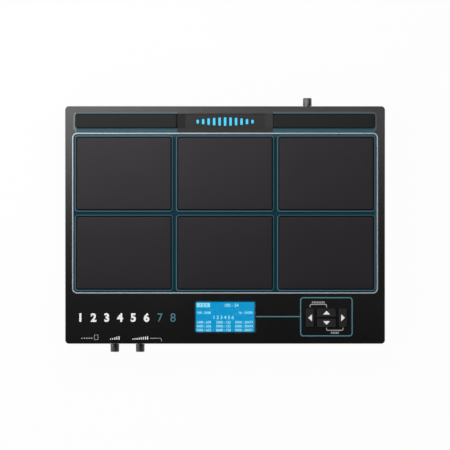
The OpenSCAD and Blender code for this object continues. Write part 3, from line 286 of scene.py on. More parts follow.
foot_rubber = moulded("foot_rubber", (0.012, 0.012, 0.012), 0.8, 0.4 * mm, 0.03 * mm)
foot_radius = 9
foot_low, foot_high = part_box("feet")
foot_top = (foot_high.z - foot_low.z) / mm
foot_profile = (
    (0, foot_top), (foot_radius, foot_top), (foot_radius, 1.0), (foot_radius - 0.25, 0.4),
    (foot_radius - 0.8, 0.05), (foot_radius - 1.4, 0), (foot_radius - 3.0, 0), (foot_radius - 3.4, 0.5),
    (foot_radius - 4.4, 0.5), (foot_radius - 4.8, 0), (0, 0))
foot_bm = bmesh.new()
for foot_x in (foot_low.x + foot_radius * mm, foot_high.x - foot_radius * mm):
    for foot_y in (foot_low.y + foot_radius * mm, foot_high.y - foot_radius * mm):
        lathe(foot_bm, foot_profile, Matrix.Translation((foot_x, foot_y, foot_low.z)))
add_piece("rubber_feet", foot_bm, foot_rubber, "housing", "foot_rubber", "feet")


# Stand inserts and screws: four turned brass inserts with an M5 thread, moulded into the floor, and
# the blackened case screws and bright board screws.
def worked_metal(name, colour, gloss, streak, **steady):
    """Turned, drawn or plated metal: fine streaks in its gloss and a slight tarnish."""
    material, place = new_finish(name)
    stretched = place.node("ShaderNodeMapping", (), {"Vector": place, "Scale": streak})
    fine = stretched.noise(1.0, 4)
    broad = place.noise(6 * mm, 3)
    paint(material, {
        "Base Color": (0.5 * fine + 0.5 * broad).mix(tint(colour, 0.78), tint(colour, 1.12)),
        "Roughness": gloss + 0.22 * (fine - 0.5),
        "Metallic": 1.0,
        "Normal": fine.bump(0.25, 0.01 * mm),
        **steady})
    return material


insert_brass = worked_metal("insert_brass", (0.62, 0.43, 0.16), 0.34, (900, 900, 2500))
insert_radius = 3.5
insert_core = 2.1
insert_thread = 2.5
insert_bore = 8.0
thread_pitch = 0.8
insert_low, insert_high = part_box("mount_inserts")
insert_length = (insert_high.z - insert_low.z) / mm
insert_profile = [(0, insert_length), (insert_radius, insert_length), (insert_radius, 0.3),
                  (insert_radius - 0.3, 0), (insert_thread + 0.2, 0), (insert_thread, 0.3)]
for thread_turn in range(9):
    insert_profile.append((insert_core, 0.7 + thread_pitch * thread_turn))
    insert_profile.append((insert_thread, 1.1 + thread_pitch * thread_turn))
insert_profile += [(insert_core, insert_bore - 0.1), (0, insert_bore)]
insert_bm = bmesh.new()
for insert_x in (insert_low.x + insert_radius * mm, insert_high.x - insert_radius * mm):
    for insert_y in (insert_low.y + insert_radius * mm, insert_high.y - insert_radius * mm):
        lathe(insert_bm, insert_profile, Matrix.Translation((insert_x, insert_y, insert_low.z)), 32)
add_piece("threaded_inserts", insert_bm, insert_brass, "housing", "insert_brass", "mount_inserts")
dress(worked_metal("screw_black", (0.03, 0.03, 0.032), 0.42, (1500, 1500, 300)), "case_screws")
dress(worked_metal("screw_steel", (0.55, 0.55, 0.57), 0.30, (1500, 1500, 300)), "small_screws")


# Inside: glass-fibre boards with a green or white mask, their grey ribbons, the moulded pad tray,
# the potentiometers, the small switches and the stamped display frame. The case closes over them.
def board_mask(name, mask, copper):
    """A circuit board: lacquer over faint copper tracks that run across and along."""
    material, place = new_finish(name)
    across = place.node("ShaderNodeTexWave", {"bands_direction": "X"}, {
        "Vector": place, "Scale": 180, "Distortion": 3.0, "Detail": 1})
    along = place.node("ShaderNodeTexWave", {"bands_direction": "Y"}, {
        "Vector": place, "Scale": 150, "Distortion": 4.0, "Detail": 1})
    patch = place.node("ShaderNodeTexVoronoi", (), {"Vector": place, "Scale": 60})
    tracks = across.above(0.72).maximum(along.above(0.74)) * patch.above(0.35)
    paint(material, {
        "Base Color": tracks.mix(mask, copper),
        "Roughness": 0.32 + 0.12 * tracks,
        "Normal": tracks.bump(0.3, 0.03 * mm)})
    return material


dress(board_mask("board_green", (0.010, 0.075, 0.035, 1), (0.022, 0.12, 0.05, 1)),
      "main_board", "front_board", "control_board")
dress(board_mask("board_white", (0.62, 0.62, 0.60, 1), (0.72, 0.72, 0.69, 1)), "light_boards")
dress(moulded("tray_plastic", (0.03, 0.03, 0.031), 0.5, 0.5 * mm, 0.02 * mm), "pad_tray")
dress(moulded("switch_plastic", (0.02, 0.02, 0.021), 0.4, 0.3 * mm, 0.01 * mm),
      "tact_switches", "power_switch")
ribbon_grey, ribbon_place = new_finish("ribbon_grey")
ribbon_cores = ribbon_place.node("ShaderNodeTexWave", {"bands_direction": "X"}, {
    "Vector": ribbon_place, "Scale": 250})
paint(ribbon_grey, {
    "Base Color": ribbon_cores.mix((0.16, 0.16, 0.17, 1), (0.34, 0.34, 0.35, 1)),
    "Roughness": 0.45 + 0.1 * ribbon_cores,
    "Normal": ribbon_cores.bump(1.0, 0.2 * mm)})
dress(ribbon_grey, "ribbon_cables")
frame_metal = worked_metal("frame_metal", (0.50, 0.51, 0.52), 0.38, (200, 2500, 2500))
dress(frame_metal, "lcd_frame", "pot_bodies")
shaft_metal = worked_metal("shaft_metal", (0.58, 0.58, 0.60), 0.28, (2500, 300, 2500))
dress(shaft_metal, "main_shaft", "phones_shaft", "contrast_shaft")
plate_steel = worked_metal("plate_steel", (0.52, 0.53, 0.54), 0.36, (150, 2200, 2200))
dress(plate_steel, "left_strip_plate", "right_strip_plate",
      *["pad_%d_plate" % number for number in range(1, 7)])


# Sockets: black plastic jacks whose threaded noses stand in round pockets of the walls, each held by
# a plated nut, with a bright sleeve in its mouth; and the square, round and barrel sockets.
socket_plastic = moulded("socket_plastic", (0.012, 0.012, 0.013), 0.35, 0.3 * mm, 0.01 * mm)
dress(socket_plastic, "phones_jack", "trigger_jacks", "output_jacks", "dc_inlet", "midi_socket")
socket_metal = worked_metal("socket_metal", (0.60, 0.60, 0.62), 0.30, (300, 2500, 2500))
dress(socket_metal, "usb_port", "card_reader")


def out_of_wall(x, y, z, way):
    """A place on a wall, with +Z pointing out of it: way is 1 at the rear and -1 at the front."""
    return Matrix.Translation((x, y, z)) @ Matrix.Rotation(-way * math.pi / 2, 4, "X")


jack_half = 8 * mm
axis_height = 21.5 * mm
jack_places = []
for jack_node, jack_way in (("phones_jack", -1), ("trigger_jacks", 1), ("output_jacks", 1)):
    jack_low, jack_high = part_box(jack_node)
    jack_tip = jack_high.y if jack_way > 0 else jack_low.y
    for jack_x in sorted({round(jack_low.x + jack_half, 5), round(jack_high.x - jack_half, 5)}):
        jack_places.append(out_of_wall(jack_x, jack_tip, axis_height, jack_way))

nut_flats = 12 * mm
nut_height = 2 * mm
nut_bore = 4.55 * mm
nut_under_tip = 2.8 * mm
nut_edge = 0.35 * mm
nut_corner = nut_flats / 2 / math.cos(math.pi / 6)
nut_middle = (nut_bore + nut_corner) / 2
nut_metal = worked_metal("nut_metal", (0.62, 0.62, 0.63), 0.26, (1800, 1800, 400))
nut_bm = bmesh.new()
bmesh.ops.create_circle(nut_bm, segments=6, radius=nut_corner)
bmesh.ops.subdivide_edges(nut_bm, edges=nut_bm.edges[:], cuts=3)
bmesh.ops.create_circle(nut_bm, segments=24, radius=nut_bore)
nut_ring = bmesh.ops.bridge_loops(nut_bm, edges=nut_bm.edges[:])["faces"]
nut_raised = [item for item in bmesh.ops.extrude_face_region(nut_bm, geom=nut_ring)["geom"]
              if isinstance(item, bmesh.types.BMVert)]
bmesh.ops.translate(nut_bm, vec=(0, 0, nut_height), verts=nut_raised)
nut_crest = [edge for edge in nut_bm.edges
             if all(vert in nut_raised and vert.co.xy.length > nut_middle for vert in edge.verts)]
bmesh.ops.bevel(nut_bm, geom=nut_crest, offset=nut_edge, offset_type="OFFSET", affect="EDGES", segments=2,
                profile=0.5, material=-1)
nut = nut_bm.verts[:] + nut_bm.edges[:] + nut_bm.faces[:]
for place in jack_places:
    copied = bmesh.ops.duplicate(nut_bm, geom=nut)["geom"]
    copied_verts = [item for item in copied if isinstance(item, bmesh.types.BMVert)]
    bmesh.ops.transform(nut_bm, matrix=place @ Matrix.Translation((0, 0, -nut_under_tip)),
                        verts=copied_verts)
bmesh.ops.delete(nut_bm, geom=[item for item in nut if isinstance(item, bmesh.types.BMVert)], context="VERTS")
add_piece("hexagon_nuts", nut_bm, nut_metal, "housing", "nut_metal", "jack_nuts")

sleeve_profile = ((3.27, -4), (3.27, -0.1), (3.45, 0.1), (3.95, 0.12), (4.15, -0.05), (4.15, -0.4),
                  (3.6, -0.4), (3.6, -4), (3.27, -4))
sleeve_bm = bmesh.new()
for place in jack_places:
    lathe(sleeve_bm, sleeve_profile, place, 40)
add_piece("jack_sleeves", sleeve_bm, nut_metal, "housing", "nut_metal")

contact_gold = worked_metal("contact_gold", (0.72, 0.53, 0.22), 0.28, (2500, 200, 2500))
usb_low, usb_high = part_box("usb_port")
usb_middle = (usb_low + usb_high) / 2
contact_size = (0.7 * mm, 6.5 * mm, 0.24 * mm)
contact_edge = 0.08 * mm
contact_depth = 5.2 * mm
contact_aside = 1.25 * mm
contact_rise = 1.5 * mm
contact_bm = bmesh.new()
for contact in range(4):
    before = set(contact_bm.verts)
    bmesh.ops.create_cube(contact_bm, size=1)
    fresh = [vert for vert in contact_bm.verts if vert not in before]
    sides = list({edge for vert in fresh for edge in vert.link_edges})
    bmesh.ops.scale(contact_bm, vec=contact_size, verts=fresh)
    row_x = usb_middle.x + (contact_aside if contact % 2 else -contact_aside)
    row_z = usb_middle.z + (contact_rise if contact < 2 else -contact_rise)
    bmesh.ops.translate(contact_bm, vec=(row_x, usb_high.y - contact_depth, row_z), verts=fresh)
    bmesh.ops.bevel(contact_bm, geom=sides, offset=contact_edge, offset_type="OFFSET", affect="EDGES",
                    segments=1, profile=0.5, material=-1)
add_piece("usb_contacts", contact_bm, contact_gold, "housing", "socket_metal")

inlet_low, inlet_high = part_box("dc_inlet")
inlet_place = out_of_wall((inlet_low.x + inlet_high.x) / 2, inlet_high.y, axis_height, 1)
pin_profile = ((0, -0.95), (0.6, -0.97), (0.95, -1.2), (1.04, -1.6), (1.04, -9.4), (0, -9.4))
barrel_profile = ((2.86, -9.4), (2.86, -1.2), (3.05, -1.2), (3.05, -9.4), (2.86, -9.4))
inlet_bm = bmesh.new()
lathe(inlet_bm, pin_profile, inlet_place, 24)
lathe(inlet_bm, barrel_profile, inlet_place, 32)
add_piece("inlet_pin", inlet_bm, nut_metal, "housing", "nut_metal")

# Power button: a round push button of satin black plastic with a dished face, moulded in one with
# the stem that slides in its switch. It stands in a round pocket of the rear wall.
knob_plastic = moulded("knob_plastic", (0.016, 0.016, 0.017), 0.32, 0.35 * mm, 0.008 * mm, **{
    "IOR": 1.58, "Specular IOR Level": 1.0})
power_low, power_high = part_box("power_button")
power_length = (power_high.y - power_low.y) / mm
power_profile = (
    (0, -0.45), (1.2, -0.4), (2.3, -0.18), (2.9, 0), (3.2, -0.02), (3.55, -0.2), (3.75, -0.55), (3.8, -0.9),
    (3.8, -3.7), (2.0, -3.7), (2.0, -power_length), (0, -power_length))
power_bm = bmesh.new()
lathe(power_bm, power_profile, out_of_wall((power_low.x + power_high.x) / 2, power_high.y, axis_height, 1))
add_piece("power_push_button", power_bm, knob_plastic, "power_push", "knob_plastic", "power_button")

# Upper case: the deck, moulded in black plastic with a satin face, its corners and edges rounded.
# It has the opening for the pads, two slots for the strips, a sunken plate between them, a window
# opening with sloped walls and four key holes.
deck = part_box("top_case")[1].z
case_plastic, case_place = new_finish("case_plastic")
case_x, case_y = case_place.along("XY")
ring_low, ring_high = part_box("pad_trim_ring")
plate_half = 52.3 * mm
plate_rear = 121.95 * mm
matt = (1 - case_x.size().above(plate_half)) * case_y.above(ring_high.y) * (1 - case_y.above(plate_rear))
case_cloud = case_place.noise(50 * mm, 4)
case_dust = case_place.noise(2 * mm, 5)
case_black = (0.5 * case_cloud + 0.5 * case_dust).mix(
    (0.0016, 0.0016, 0.0018, 1), (0.0032, 0.0031, 0.0035, 1))
paint(case_plastic, {
    "Base Color": matt.mix(case_black, (0.0085, 0.0085, 0.009, 1)),
    "Roughness": 0.345 + 0.05 * (case_cloud - 0.5) + 0.04 * (case_dust - 0.5) + 0.33 * matt,
    "Normal": case_place.noise(0.35 * mm, 3).bump(0.35, 0.005 * mm)})
dress(case_plastic, "top_case")


# Trim ring: a thin bright ring round the field of pads, moulded, painted silver and pressed into
# a step of the deck's opening.
def rounded_face(bm, low, high, z, radius, steps=6):
    """A flat face with round corners between two corner points, in metres."""
    before = set(bm.faces)
    corners = bmesh.ops.create_grid(bm, x_segments=1, y_segments=1, size=0.5)["verts"]
    bmesh.ops.scale(bm, vec=(high[0] - low[0], high[1] - low[1], 1), verts=corners)
    bmesh.ops.translate(bm, vec=((low[0] + high[0]) / 2, (low[1] + high[1]) / 2, z), verts=corners)
    bmesh.ops.bevel(bm, geom=corners, offset=radius, offset_type="OFFSET", affect="VERTICES", segments=steps,
                    profile=0.5, material=-1)
    return [face for face in bm.faces if face not in before][0]


def rise(bm, faces, height):
    """Pulls faces straight up, leaving walls behind them, and gives back the raised faces."""
    raised = bmesh.ops.extrude_face_region(bm, geom=faces)["geom"]
    verts = [item for item in raised if isinstance(item, bmesh.types.BMVert)]
    bmesh.ops.translate(bm, vec=(0, 0, height), verts=verts)
    return [item for item in raised if isinstance(item, bmesh.types.BMFace)]


def round_over(bm, faces, radius, steps=4):
    """Rounds the edges round a group of faces."""
    rim = [edge for face in faces for edge in face.edges
           if sum(neighbour in faces for neighbour in edge.link_faces) == 1]
    bmesh.ops.bevel(bm, geom=rim, offset=radius, offset_type="OFFSET", affect="EDGES", segments=steps,
                    profile=0.5, material=-1)


def flat_ring(bm, low, high, z, radius, width):
    """A flat band of even width inside a round-cornered outline."""
    inner_low = (low[0] + width, low[1] + width)
    inner_high = (high[0] - width, high[1] - width)
    outer = rounded_face(bm, low, high, z, radius)
    inner = rounded_face(bm, inner_low, inner_high, z, radius - width)
    edges = list(outer.edges) + list(inner.edges)
    bmesh.ops.delete(bm, geom=[outer, inner], context="FACES_ONLY")
    return bmesh.ops.bridge_loops(bm, edges=edges)["faces"]


trim_silver, trim_place = new_finish("trim_silver")
trim_flake = trim_place.node("ShaderNodeTexVoronoi", (), {"Vector": trim_place, "Scale": 1 / (0.12 * mm)})
trim_cloud = trim_place.noise(60 * mm)
paint(trim_silver, {
    "Base Color": (0.3 * trim_flake + 0.7 * trim_cloud).mix((0.355, 0.385, 0.42, 1), (0.46, 0.495, 0.535, 1)),
    "Roughness": 0.32 + 0.12 * trim_flake,
    "Metallic": 0.15,
    "Normal": trim_flake.bump(0.15, 0.01 * mm)})
trim_width = 1.4 * mm
trim_radius = 5.4 * mm
trim_edge = 0.4 * mm
trim_bm = bmesh.new()
trim_band = flat_ring(trim_bm, ring_low, ring_high, ring_low.z, trim_radius, trim_width)
trim_band = rise(trim_bm, trim_band, ring_high.z - ring_low.z)
round_over(trim_bm, trim_band, trim_edge, 3)
add_piece("silver_ring", trim_bm, trim_silver, "housing", "trim_silver", "pad_trim_ring")


# Light guides: smoky blue-green clear plastic, lit from lamps at its edge. A rim stands round each
# pad and a lower floor lies between the rims; the strips have a rim along each side, and a thin lip
# at the front. Painted light: the rim faces turned to the front and to the left carry a painted
# highlight, and the rear edge of the pad field carries painted light; the low floor between the rims
# is painted darker as shade, and painted shade darkens the strip guides at the front beside the
# rubber and at the right end.
def lit_plastic_with_painted_light(name, glow_and_painted_light, dark, light, dark_glow, light_glow, painted_light_colour, dull, shine, gloss):
    """Clear plastic glowing from inside, with painted light. The spread function gives two shares: one of
    the lighter colours, low where shade is painted, and one of the painted light colour.
    """
    material, place = new_finish(name)
    # Painted highlight: faces turned to the front and to the left take more of the painted light colour.
    facing_x, facing_y = place.node("ShaderNodeTexCoord", (), (), "Normal").along("XY")
    turned = (-0.7 * (facing_x + facing_y)).maximum(0.0)
    tone_share_with_painted_shade, painted_light_share = glow_and_painted_light(*place.along("XYZ"), turned)
    haze = place.noise(18 * mm, 4)
    cloudy_tone_with_painted_shade = tone_share_with_painted_shade * (0.8 + 0.4 * haze)
    glow_with_painted_shade = cloudy_tone_with_painted_shade.mix(dark_glow, light_glow)
    paint(material, {
        "Base Color": cloudy_tone_with_painted_shade.mix(dark, light),
        "Roughness": dull + (shine - dull) * tone_share_with_painted_shade + 0.1 * haze,
        "Specular IOR Level": gloss,
        # The emission mixes in the painted light colour: painted highlight on the pad guide, painted shade on
        # the strip guides.
        "Emission Color": painted_light_share.mix(glow_with_painted_shade, painted_light_colour),
        "Emission Strength": 1.0})
    return material


rim_rise = (deck - 2.5 * mm, deck + 0.1 * mm)
field_rear = (95.6 * mm, 97.0 * mm)
field_right = (163.0 * mm, 164.2 * mm)
first_pad = (-75 * mm, -40 * mm)


def pad_glow_and_painted_light(x, y, z, turned):
    """The rims take the lighter colours and the low floor between them is darker as painted shade.
    The painted light colour goes on rim faces turned to the front and left as painted highlight, along
    the rear edge of the field, most at its left, as painted light, and a little along its right edge.
    """
    rim = z.ramp(*rim_rise)
    rear_edge = y.ramp(*field_rear) * (0.44 - 0.22 * x.ramp(*first_pad))
    right_edge = 0.2 * x.ramp(*field_right)
    return rim, turned * rim + rear_edge.maximum(right_edge)


strip_ends = (161.5 * mm, 164.5 * mm)
strip_front = (103.2 * mm, 105.8 * mm)
strip_rear = 114 * mm


def strip_glow_and_painted_light(x, y, z, turned):
    """The outer ends are lighter, the right end less so, and the rear side half as much.
    The painted shade colour darkens the front side next to the rubber and the right end.
    """
    ends = x.size().ramp(*strip_ends)
    rear = y.above(strip_rear)
    beside = y.ramp(*strip_front) * (1 - rear)
    right_end = ends * x.above(0.0)
    return (ends - 0.4 * right_end).maximum(0.5 * rear), (0.75 * beside).maximum(right_end)


# The dark colours paint shade on the low floor between the rims; the last colour is the painted highlight and
# painted light.
dress(lit_plastic_with_painted_light("light_guide", pad_glow_and_painted_light,
                  (0.001, 0.009, 0.013, 1), (0.020, 0.050, 0.058, 1),
                  (0.0008, 0.019, 0.029, 1), (0.004, 0.026, 0.034, 1), (0.10, 0.18, 0.23, 1),
                  0.7, 0.36, 0.2), "pad_light_guide")
# The last colour is painted shade, mixed in at the front side next to the rubber and at the right end.
strip_light = lit_plastic_with_painted_light("strip_light", strip_glow_and_painted_light,
                          (0.010, 0.032, 0.040, 1), (0.085, 0.098, 0.098, 1),
                          (0.004, 0.042, 0.062, 1), (0.008, 0.022, 0.026, 1), (0.004, 0.010, 0.012, 1),
                          0.52, 0.22, 0.36)
dress(strip_light, "strip_light_guides")
lip_inner = 52.7 * mm
lip_end = 2.4 * mm
lip_height = 0.15 * mm
lip_corner = 0.2 * mm
guide_low, guide_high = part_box("strip_light_guides")
lip_front = ring_high.y + 0.1 * mm
lip_rear = guide_low.y + 0.3 * mm
lip_floor = deck + 0.01 * mm
lip_bm = bmesh.new()
lip_faces = [
    rounded_face(lip_bm, (guide_low.x + lip_end, lip_front), (-lip_inner, lip_rear), lip_floor, lip_corner),
    rounded_face(lip_bm, (lip_inner, lip_front), (guide_high.x - lip_end, lip_rear), lip_floor, lip_corner)]
rise(lip_bm, lip_faces, lip_height)
add_piece("strip_light_lips", lip_bm, strip_light, "housing", "light_guide")


# Playing pads: six firm rubber blocks with a fine matt grain, rounded at the top edge and very
# slightly crowned. Each has a flange under the light guide and is glued on its steel plate.
def step_in(bm, face, low, high, z, radius):
    """Joins a face's outline to a smaller round-cornered face at another height."""
    edges = list(face.edges)
    bmesh.ops.delete(bm, geom=[face], context="FACES_ONLY")
    inner = rounded_face(bm, low, high, z, radius)
    bmesh.ops.bridge_loops(bm, edges=edges + list(inner.edges))
    return inner


def top_face(bm):
    """The highest face, and the largest of those at one height."""
    return max(bm.faces, key=lambda face: (round(face.calc_center_median().z, 6), face.calc_area()))


rubber_flange = 1.5 * mm
crown_steps = ((0.06, 0.45), (0.15, 0.85), (0.27, 1.0))
crown_corner = 0.08


def rubber_block(name, node, body, rubber, flange, corner, edge, crown):
    """A block with a flange at its foot, a rounded top edge and a crown that rises in steps."""
    low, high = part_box(node)
    depth = high.y - low.y
    bm = bmesh.new()
    seat = rounded_face(bm, low, high, low.z, corner + flange)
    top = rise(bm, [seat], rubber_flange)
    bmesh.ops.inset_region(bm, faces=top, thickness=flange, use_even_offset=True)
    top = rise(bm, top, high.z - low.z - rubber_flange - crown)
    round_over(bm, top, edge, 5)
    top = top_face(bm)
    for share, height in crown_steps:
        inset = Vector((1, 1)) * (flange + edge + share * depth)
        top = step_in(bm, top, low.xy + inset, high.xy - inset, high.z - (1 - height) * crown,
                      crown_corner * depth)
    made = add_piece(name, bm, rubber, body, "pad_rubber", node)


def rubber_finish(name, dark, light, shine, **steady):
    """Firm rubber: a fine matt grain from the mould and a faint cloudiness."""
    material, place = new_finish(name)
    grain = place.node("ShaderNodeTexNoise", (), {
        "Vector": place, "Scale": 1 / (0.55 * mm), "Detail": 4, "Roughness": 0.65})
    cloud = place.noise(38 * mm, 3)
    paint(material, {
        "Base Color": (0.5 * cloud + 0.5 * grain).mix(dark, light),
        "Roughness": shine + 0.16 * (grain - 0.5) + 0.08 * (cloud - 0.5),
        "Normal": grain.bump(0.4, 0.02 * mm),
        **steady})
    return material


pad_rubber = rubber_finish("pad_rubber", (0.0062, 0.0054, 0.0068, 1), (0.0110, 0.0098, 0.0122, 1), 0.56, **{
    "Specular IOR Level": 0.35, "Specular Tint": (1.0, 0.93, 1.0, 1)})
pad_names = ["pad_%d" % number for number in range(1, 7)]
for pad_name in pad_names:
    rubber_block(pad_name + "_rubber", pad_name, pad_name.replace("pad", "playing_pad"), pad_rubber,
                 flange=2.0 * mm, corner=1.2 * mm, edge=0.8 * mm, crown=0.20 * mm)

# Strip pads: two long bars behind the pads, moulded of a darker rubber and standing a little higher.
# Each is glued on its steel plate and held down by a flange under its light guide.
strip_rubber = rubber_finish("strip_rubber", (0.0040, 0.0046, 0.0046, 1), (0.0075, 0.0086, 0.0084, 1), 0.60,
                             **{"Specular IOR Level": 0.24})
for strip_side in ("left", "right"):
    rubber_block(strip_side + "_strip_rubber", strip_side + "_strip", strip_side + "_strip_pad", strip_rubber,
                 flange=1.0 * mm, corner=2.2 * mm, edge=1.0 * mm, crown=0.12 * mm)

# Foam cushions: die-cut grey foam between the steel plates and the tray. They are glued to the tray,
# and a struck pad presses on them.
cushion_foam, foam_place = new_finish("cushion_foam")
foam_cells = foam_place.node("ShaderNodeTexVoronoi", (), {"Vector": foam_place, "Scale": 1 / (0.8 * mm)})
paint(cushion_foam, {
    "Base Color": foam_cells.mix((0.05, 0.05, 0.052, 1), (0.16, 0.16, 0.165, 1)),
    "Roughness": 0.85 + 0.1 * foam_cells,
    "Normal": foam_cells.bump(1.0, 0.3 * mm)})
foam_low, foam_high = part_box("pad_cushions")
foam_inset = Vector((1 * mm, 1 * mm))
foam_band = 16 * mm
foam_corner = 18 * mm
foam_edge = 0.5 * mm
for pad_name in pad_names:
    plate_low, plate_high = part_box(pad_name + "_plate")
    foam_bm = bmesh.new()
    foam_ring = flat_ring(foam_bm, plate_low.xy + foam_inset, plate_high.xy - foam_inset, foam_low.z,
                          foam_corner, foam_band)
    foam_top = rise(foam_bm, foam_ring, foam_high.z - foam_low.z)
    round_over(foam_bm, foam_top, foam_edge, 3)
    foam = add_piece(pad_name + "_foam", foam_bm, cushion_foam, "housing", "cushion_foam", "pad_cushions")
    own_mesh(foam)
strip_foam_low, strip_foam_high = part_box("strip_cushions")
strip_foam_gap = 6.7 * mm
strip_foam_corner = 2 * mm
for strip_side in ("left", "right"):
    plate_low, plate_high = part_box(strip_side + "_strip_plate")
    plate_middle = (plate_low.x + plate_high.x) / 2
    foam_bm = bmesh.new()
    for foam_left, foam_right in (
            (plate_low.x, plate_middle - strip_foam_gap), (plate_middle + strip_foam_gap, plate_high.x)):
        foam_face = rounded_face(foam_bm, (foam_left, strip_foam_low.y), (foam_right, strip_foam_high.y),
                                 strip_foam_low.z, strip_foam_corner)
        foam_top = rise(foam_bm, [foam_face], strip_foam_high.z - strip_foam_low.z)
        round_over(foam_bm, foam_top, foam_edge, 3)
    foam = add_piece(strip_side + "_strip_foam", foam_bm, cushion_foam, "housing", "cushion_foam",
                     "strip_cushions")
    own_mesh(foam)

# Display: a blue backlit panel of dots in a stamped frame, behind a clear hard-coated window that is
# glued under the deck. It shows rows of plain numbers, the first of them in a lit box.
lcd_low, lcd_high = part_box("lcd_panel")
lcd_middle = (lcd_low + lcd_high) / 2
display_blue, lcd_place = new_finish("display_blue")
lcd_dots = lcd_place.node("ShaderNodeTexVoronoi", {"distance": "CHEBYCHEV"}, {
    "Vector": lcd_place, "Scale": 1 / (0.5 * mm), "Randomness": 0.0})
lcd_spread = lcd_place.noise(25 * mm)
paint(display_blue, {
    "Base Color": lcd_dots.mix((0.0, 0.02, 0.04, 1), (0.0, 0.03, 0.06, 1)),
    "Roughness": 0.3 + 0.1 * lcd_dots,
    "Emission Color": (0.6 * lcd_spread + 0.25 * lcd_dots).mix(
        (0.0006, 0.34, 0.66, 1), (0.0004, 0.26, 0.58, 1)),
    "Emission Strength": 1.0})
dress(display_blue, "lcd_panel")
display_light, light_place = new_finish("display_light")
light_dots = light_place.node("ShaderNodeTexVoronoi", {"distance": "CHEBYCHEV"}, {
    "Vector": light_place, "Scale": 1 / (0.5 * mm), "Randomness": 0.0})
paint(display_light, {
    "Base Color": (0.05, 0.1, 0.12, 1),
    "Roughness": 0.4 + 0.1 * light_dots,
    "Emission Color": light_dots.mix((0.34, 0.80, 0.93, 1), (0.18, 0.66, 0.86, 1)),
    "Emission Strength": 1.0})
figure_share = 0.72


def number_row(bm, text, x, y, z, height, bold=0.0):
    """Adds flat figures of a given height, centred on a point, to a mesh."""
    before = set(bm.faces)
    curve = bpy.data.curves.new("figures", "FONT")
    curve.body = text
    curve.align_x = "CENTER"
    curve.resolution_u = 4
    curve.offset = bold
    curve.size = height / figure_share
    writer = bpy.data.objects.new("figures", curve)
    scene.collection.objects.link(writer)
    bpy.context.view_layer.update()
    figures = bpy.data.meshes.new_from_object(writer)
    figures.transform(Matrix.Translation((x, y - height / 2, z)))
    bm.from_mesh(figures)
    bpy.data.objects.remove(writer)
    bpy.data.meshes.remove(figures)
    bpy.data.curves.remove(curve)
    return [face for face in bm.faces if face not in before]


def bar(bm, low, high, z, radius=0.2 * mm):
    """A flat bar with small round corners, as a list of one face."""
    return [rounded_face(bm, low, high, z, radius, 3)]


mark_lift = 0.01 * mm
mark_height = 0.03 * mm
lcd_face = lcd_high.z + mark_lift
lcd_bold = 0.12 * mm
box_low = Vector((-31.1 * mm, 10.6 * mm))
box_high = Vector((-16.5 * mm, 15.2 * mm))
lcd_bm = bmesh.new()
lcd_marks = bar(lcd_bm, lcd_middle.xy + box_low, lcd_middle.xy + box_high, lcd_face)
lcd_rows = [("100 - 24", 6.8, 12.8, 3.4), ("100 : 2048", -23.4, 4.7, 2.6), ("16 : 24000", 22.3, 4.7, 2.6),
            ("1 2 3 4 5 6", -1.9, -0.4, 3.8)]
for row, row_y in enumerate((-5.8, -10.1, -14.4)):
    for column, row_x in enumerate((-23.3, -1.8, 20.7)):
        count = 3 * row + column + 1
        lcd_rows.append(("%d000 : %d" % (count, (640, 128, 20480)[column] - count), row_x, row_y, 2.7))
for text, row_x, row_y, row_height in lcd_rows:
    lcd_marks += number_row(lcd_bm, text, lcd_middle.x + row_x * mm, lcd_middle.y + row_y * mm, lcd_face,
                            row_height * mm, lcd_bold)
rise(lcd_bm, lcd_marks, mark_height)
add_piece("display_figures", lcd_bm, display_light, "housing", "display_blue")
box_middle = (box_low + box_high) / 2
box_height = 3.2 * mm
box_bold = 0.1 * mm
box_bm = bmesh.new()
box_marks = number_row(box_bm, "1 2 3", lcd_middle.x + box_middle.x, lcd_middle.y + box_middle.y,
                       lcd_face + mark_height + mark_lift, box_height, box_bold)
rise(box_bm, box_marks, mark_height)
add_piece("display_box_figures", box_bm, display_blue, "housing", "display_blue")

window_clear, window_place = new_finish("window_clear")
window_smear = window_place.noise(14 * mm, 4)
paint(window_clear, {
    "Base Color": window_smear.mix((0.97, 0.98, 0.98, 1), (1.0, 1.0, 1.0, 1)),
    "Roughness": 0.02 + 0.03 * window_smear,
    "IOR": 1.49,
    "Transmission Weight": 1.0})
dress(window_clear, "display_window")


# Keys: four black plastic key caps with rounded edges and a shallow dish, each with a printed white
# arrow. A cap has a flange under the deck and a stem on its small switch.
key_plastic = moulded("key_plastic", (0.0085, 0.0085, 0.009), 0.48, 0.4 * mm, 0.012 * mm)
print_white, white_place = new_finish("print_white")
white_wear = white_place.noise(0.6 * mm, 4)
paint(print_white, {
    "Base Color": white_wear.mix((0.86, 0.86, 0.86, 1), (0.98, 0.98, 0.98, 1)),
    "Roughness": 0.5 + 0.1 * white_wear})
key_flange = 0.8 * mm
key_flange_height = 0.9 * mm
key_stem = 1.7
key_corner = 0.8 * mm
key_edge = 0.5 * mm
key_seat = deck - 3.7 * mm
dish_steps = ((1.9 * mm, 0.05 * mm), (2.8 * mm, 0.12 * mm))
dish_corner = 0.6 * mm
arrow_base = 7.6 * mm
arrow_height = 4.1 * mm
arrow_corner = 0.25 * mm
arrow_sink = 0.115 * mm
key_turns = {"left": 90, "up": 0, "down": 180, "right": -90}
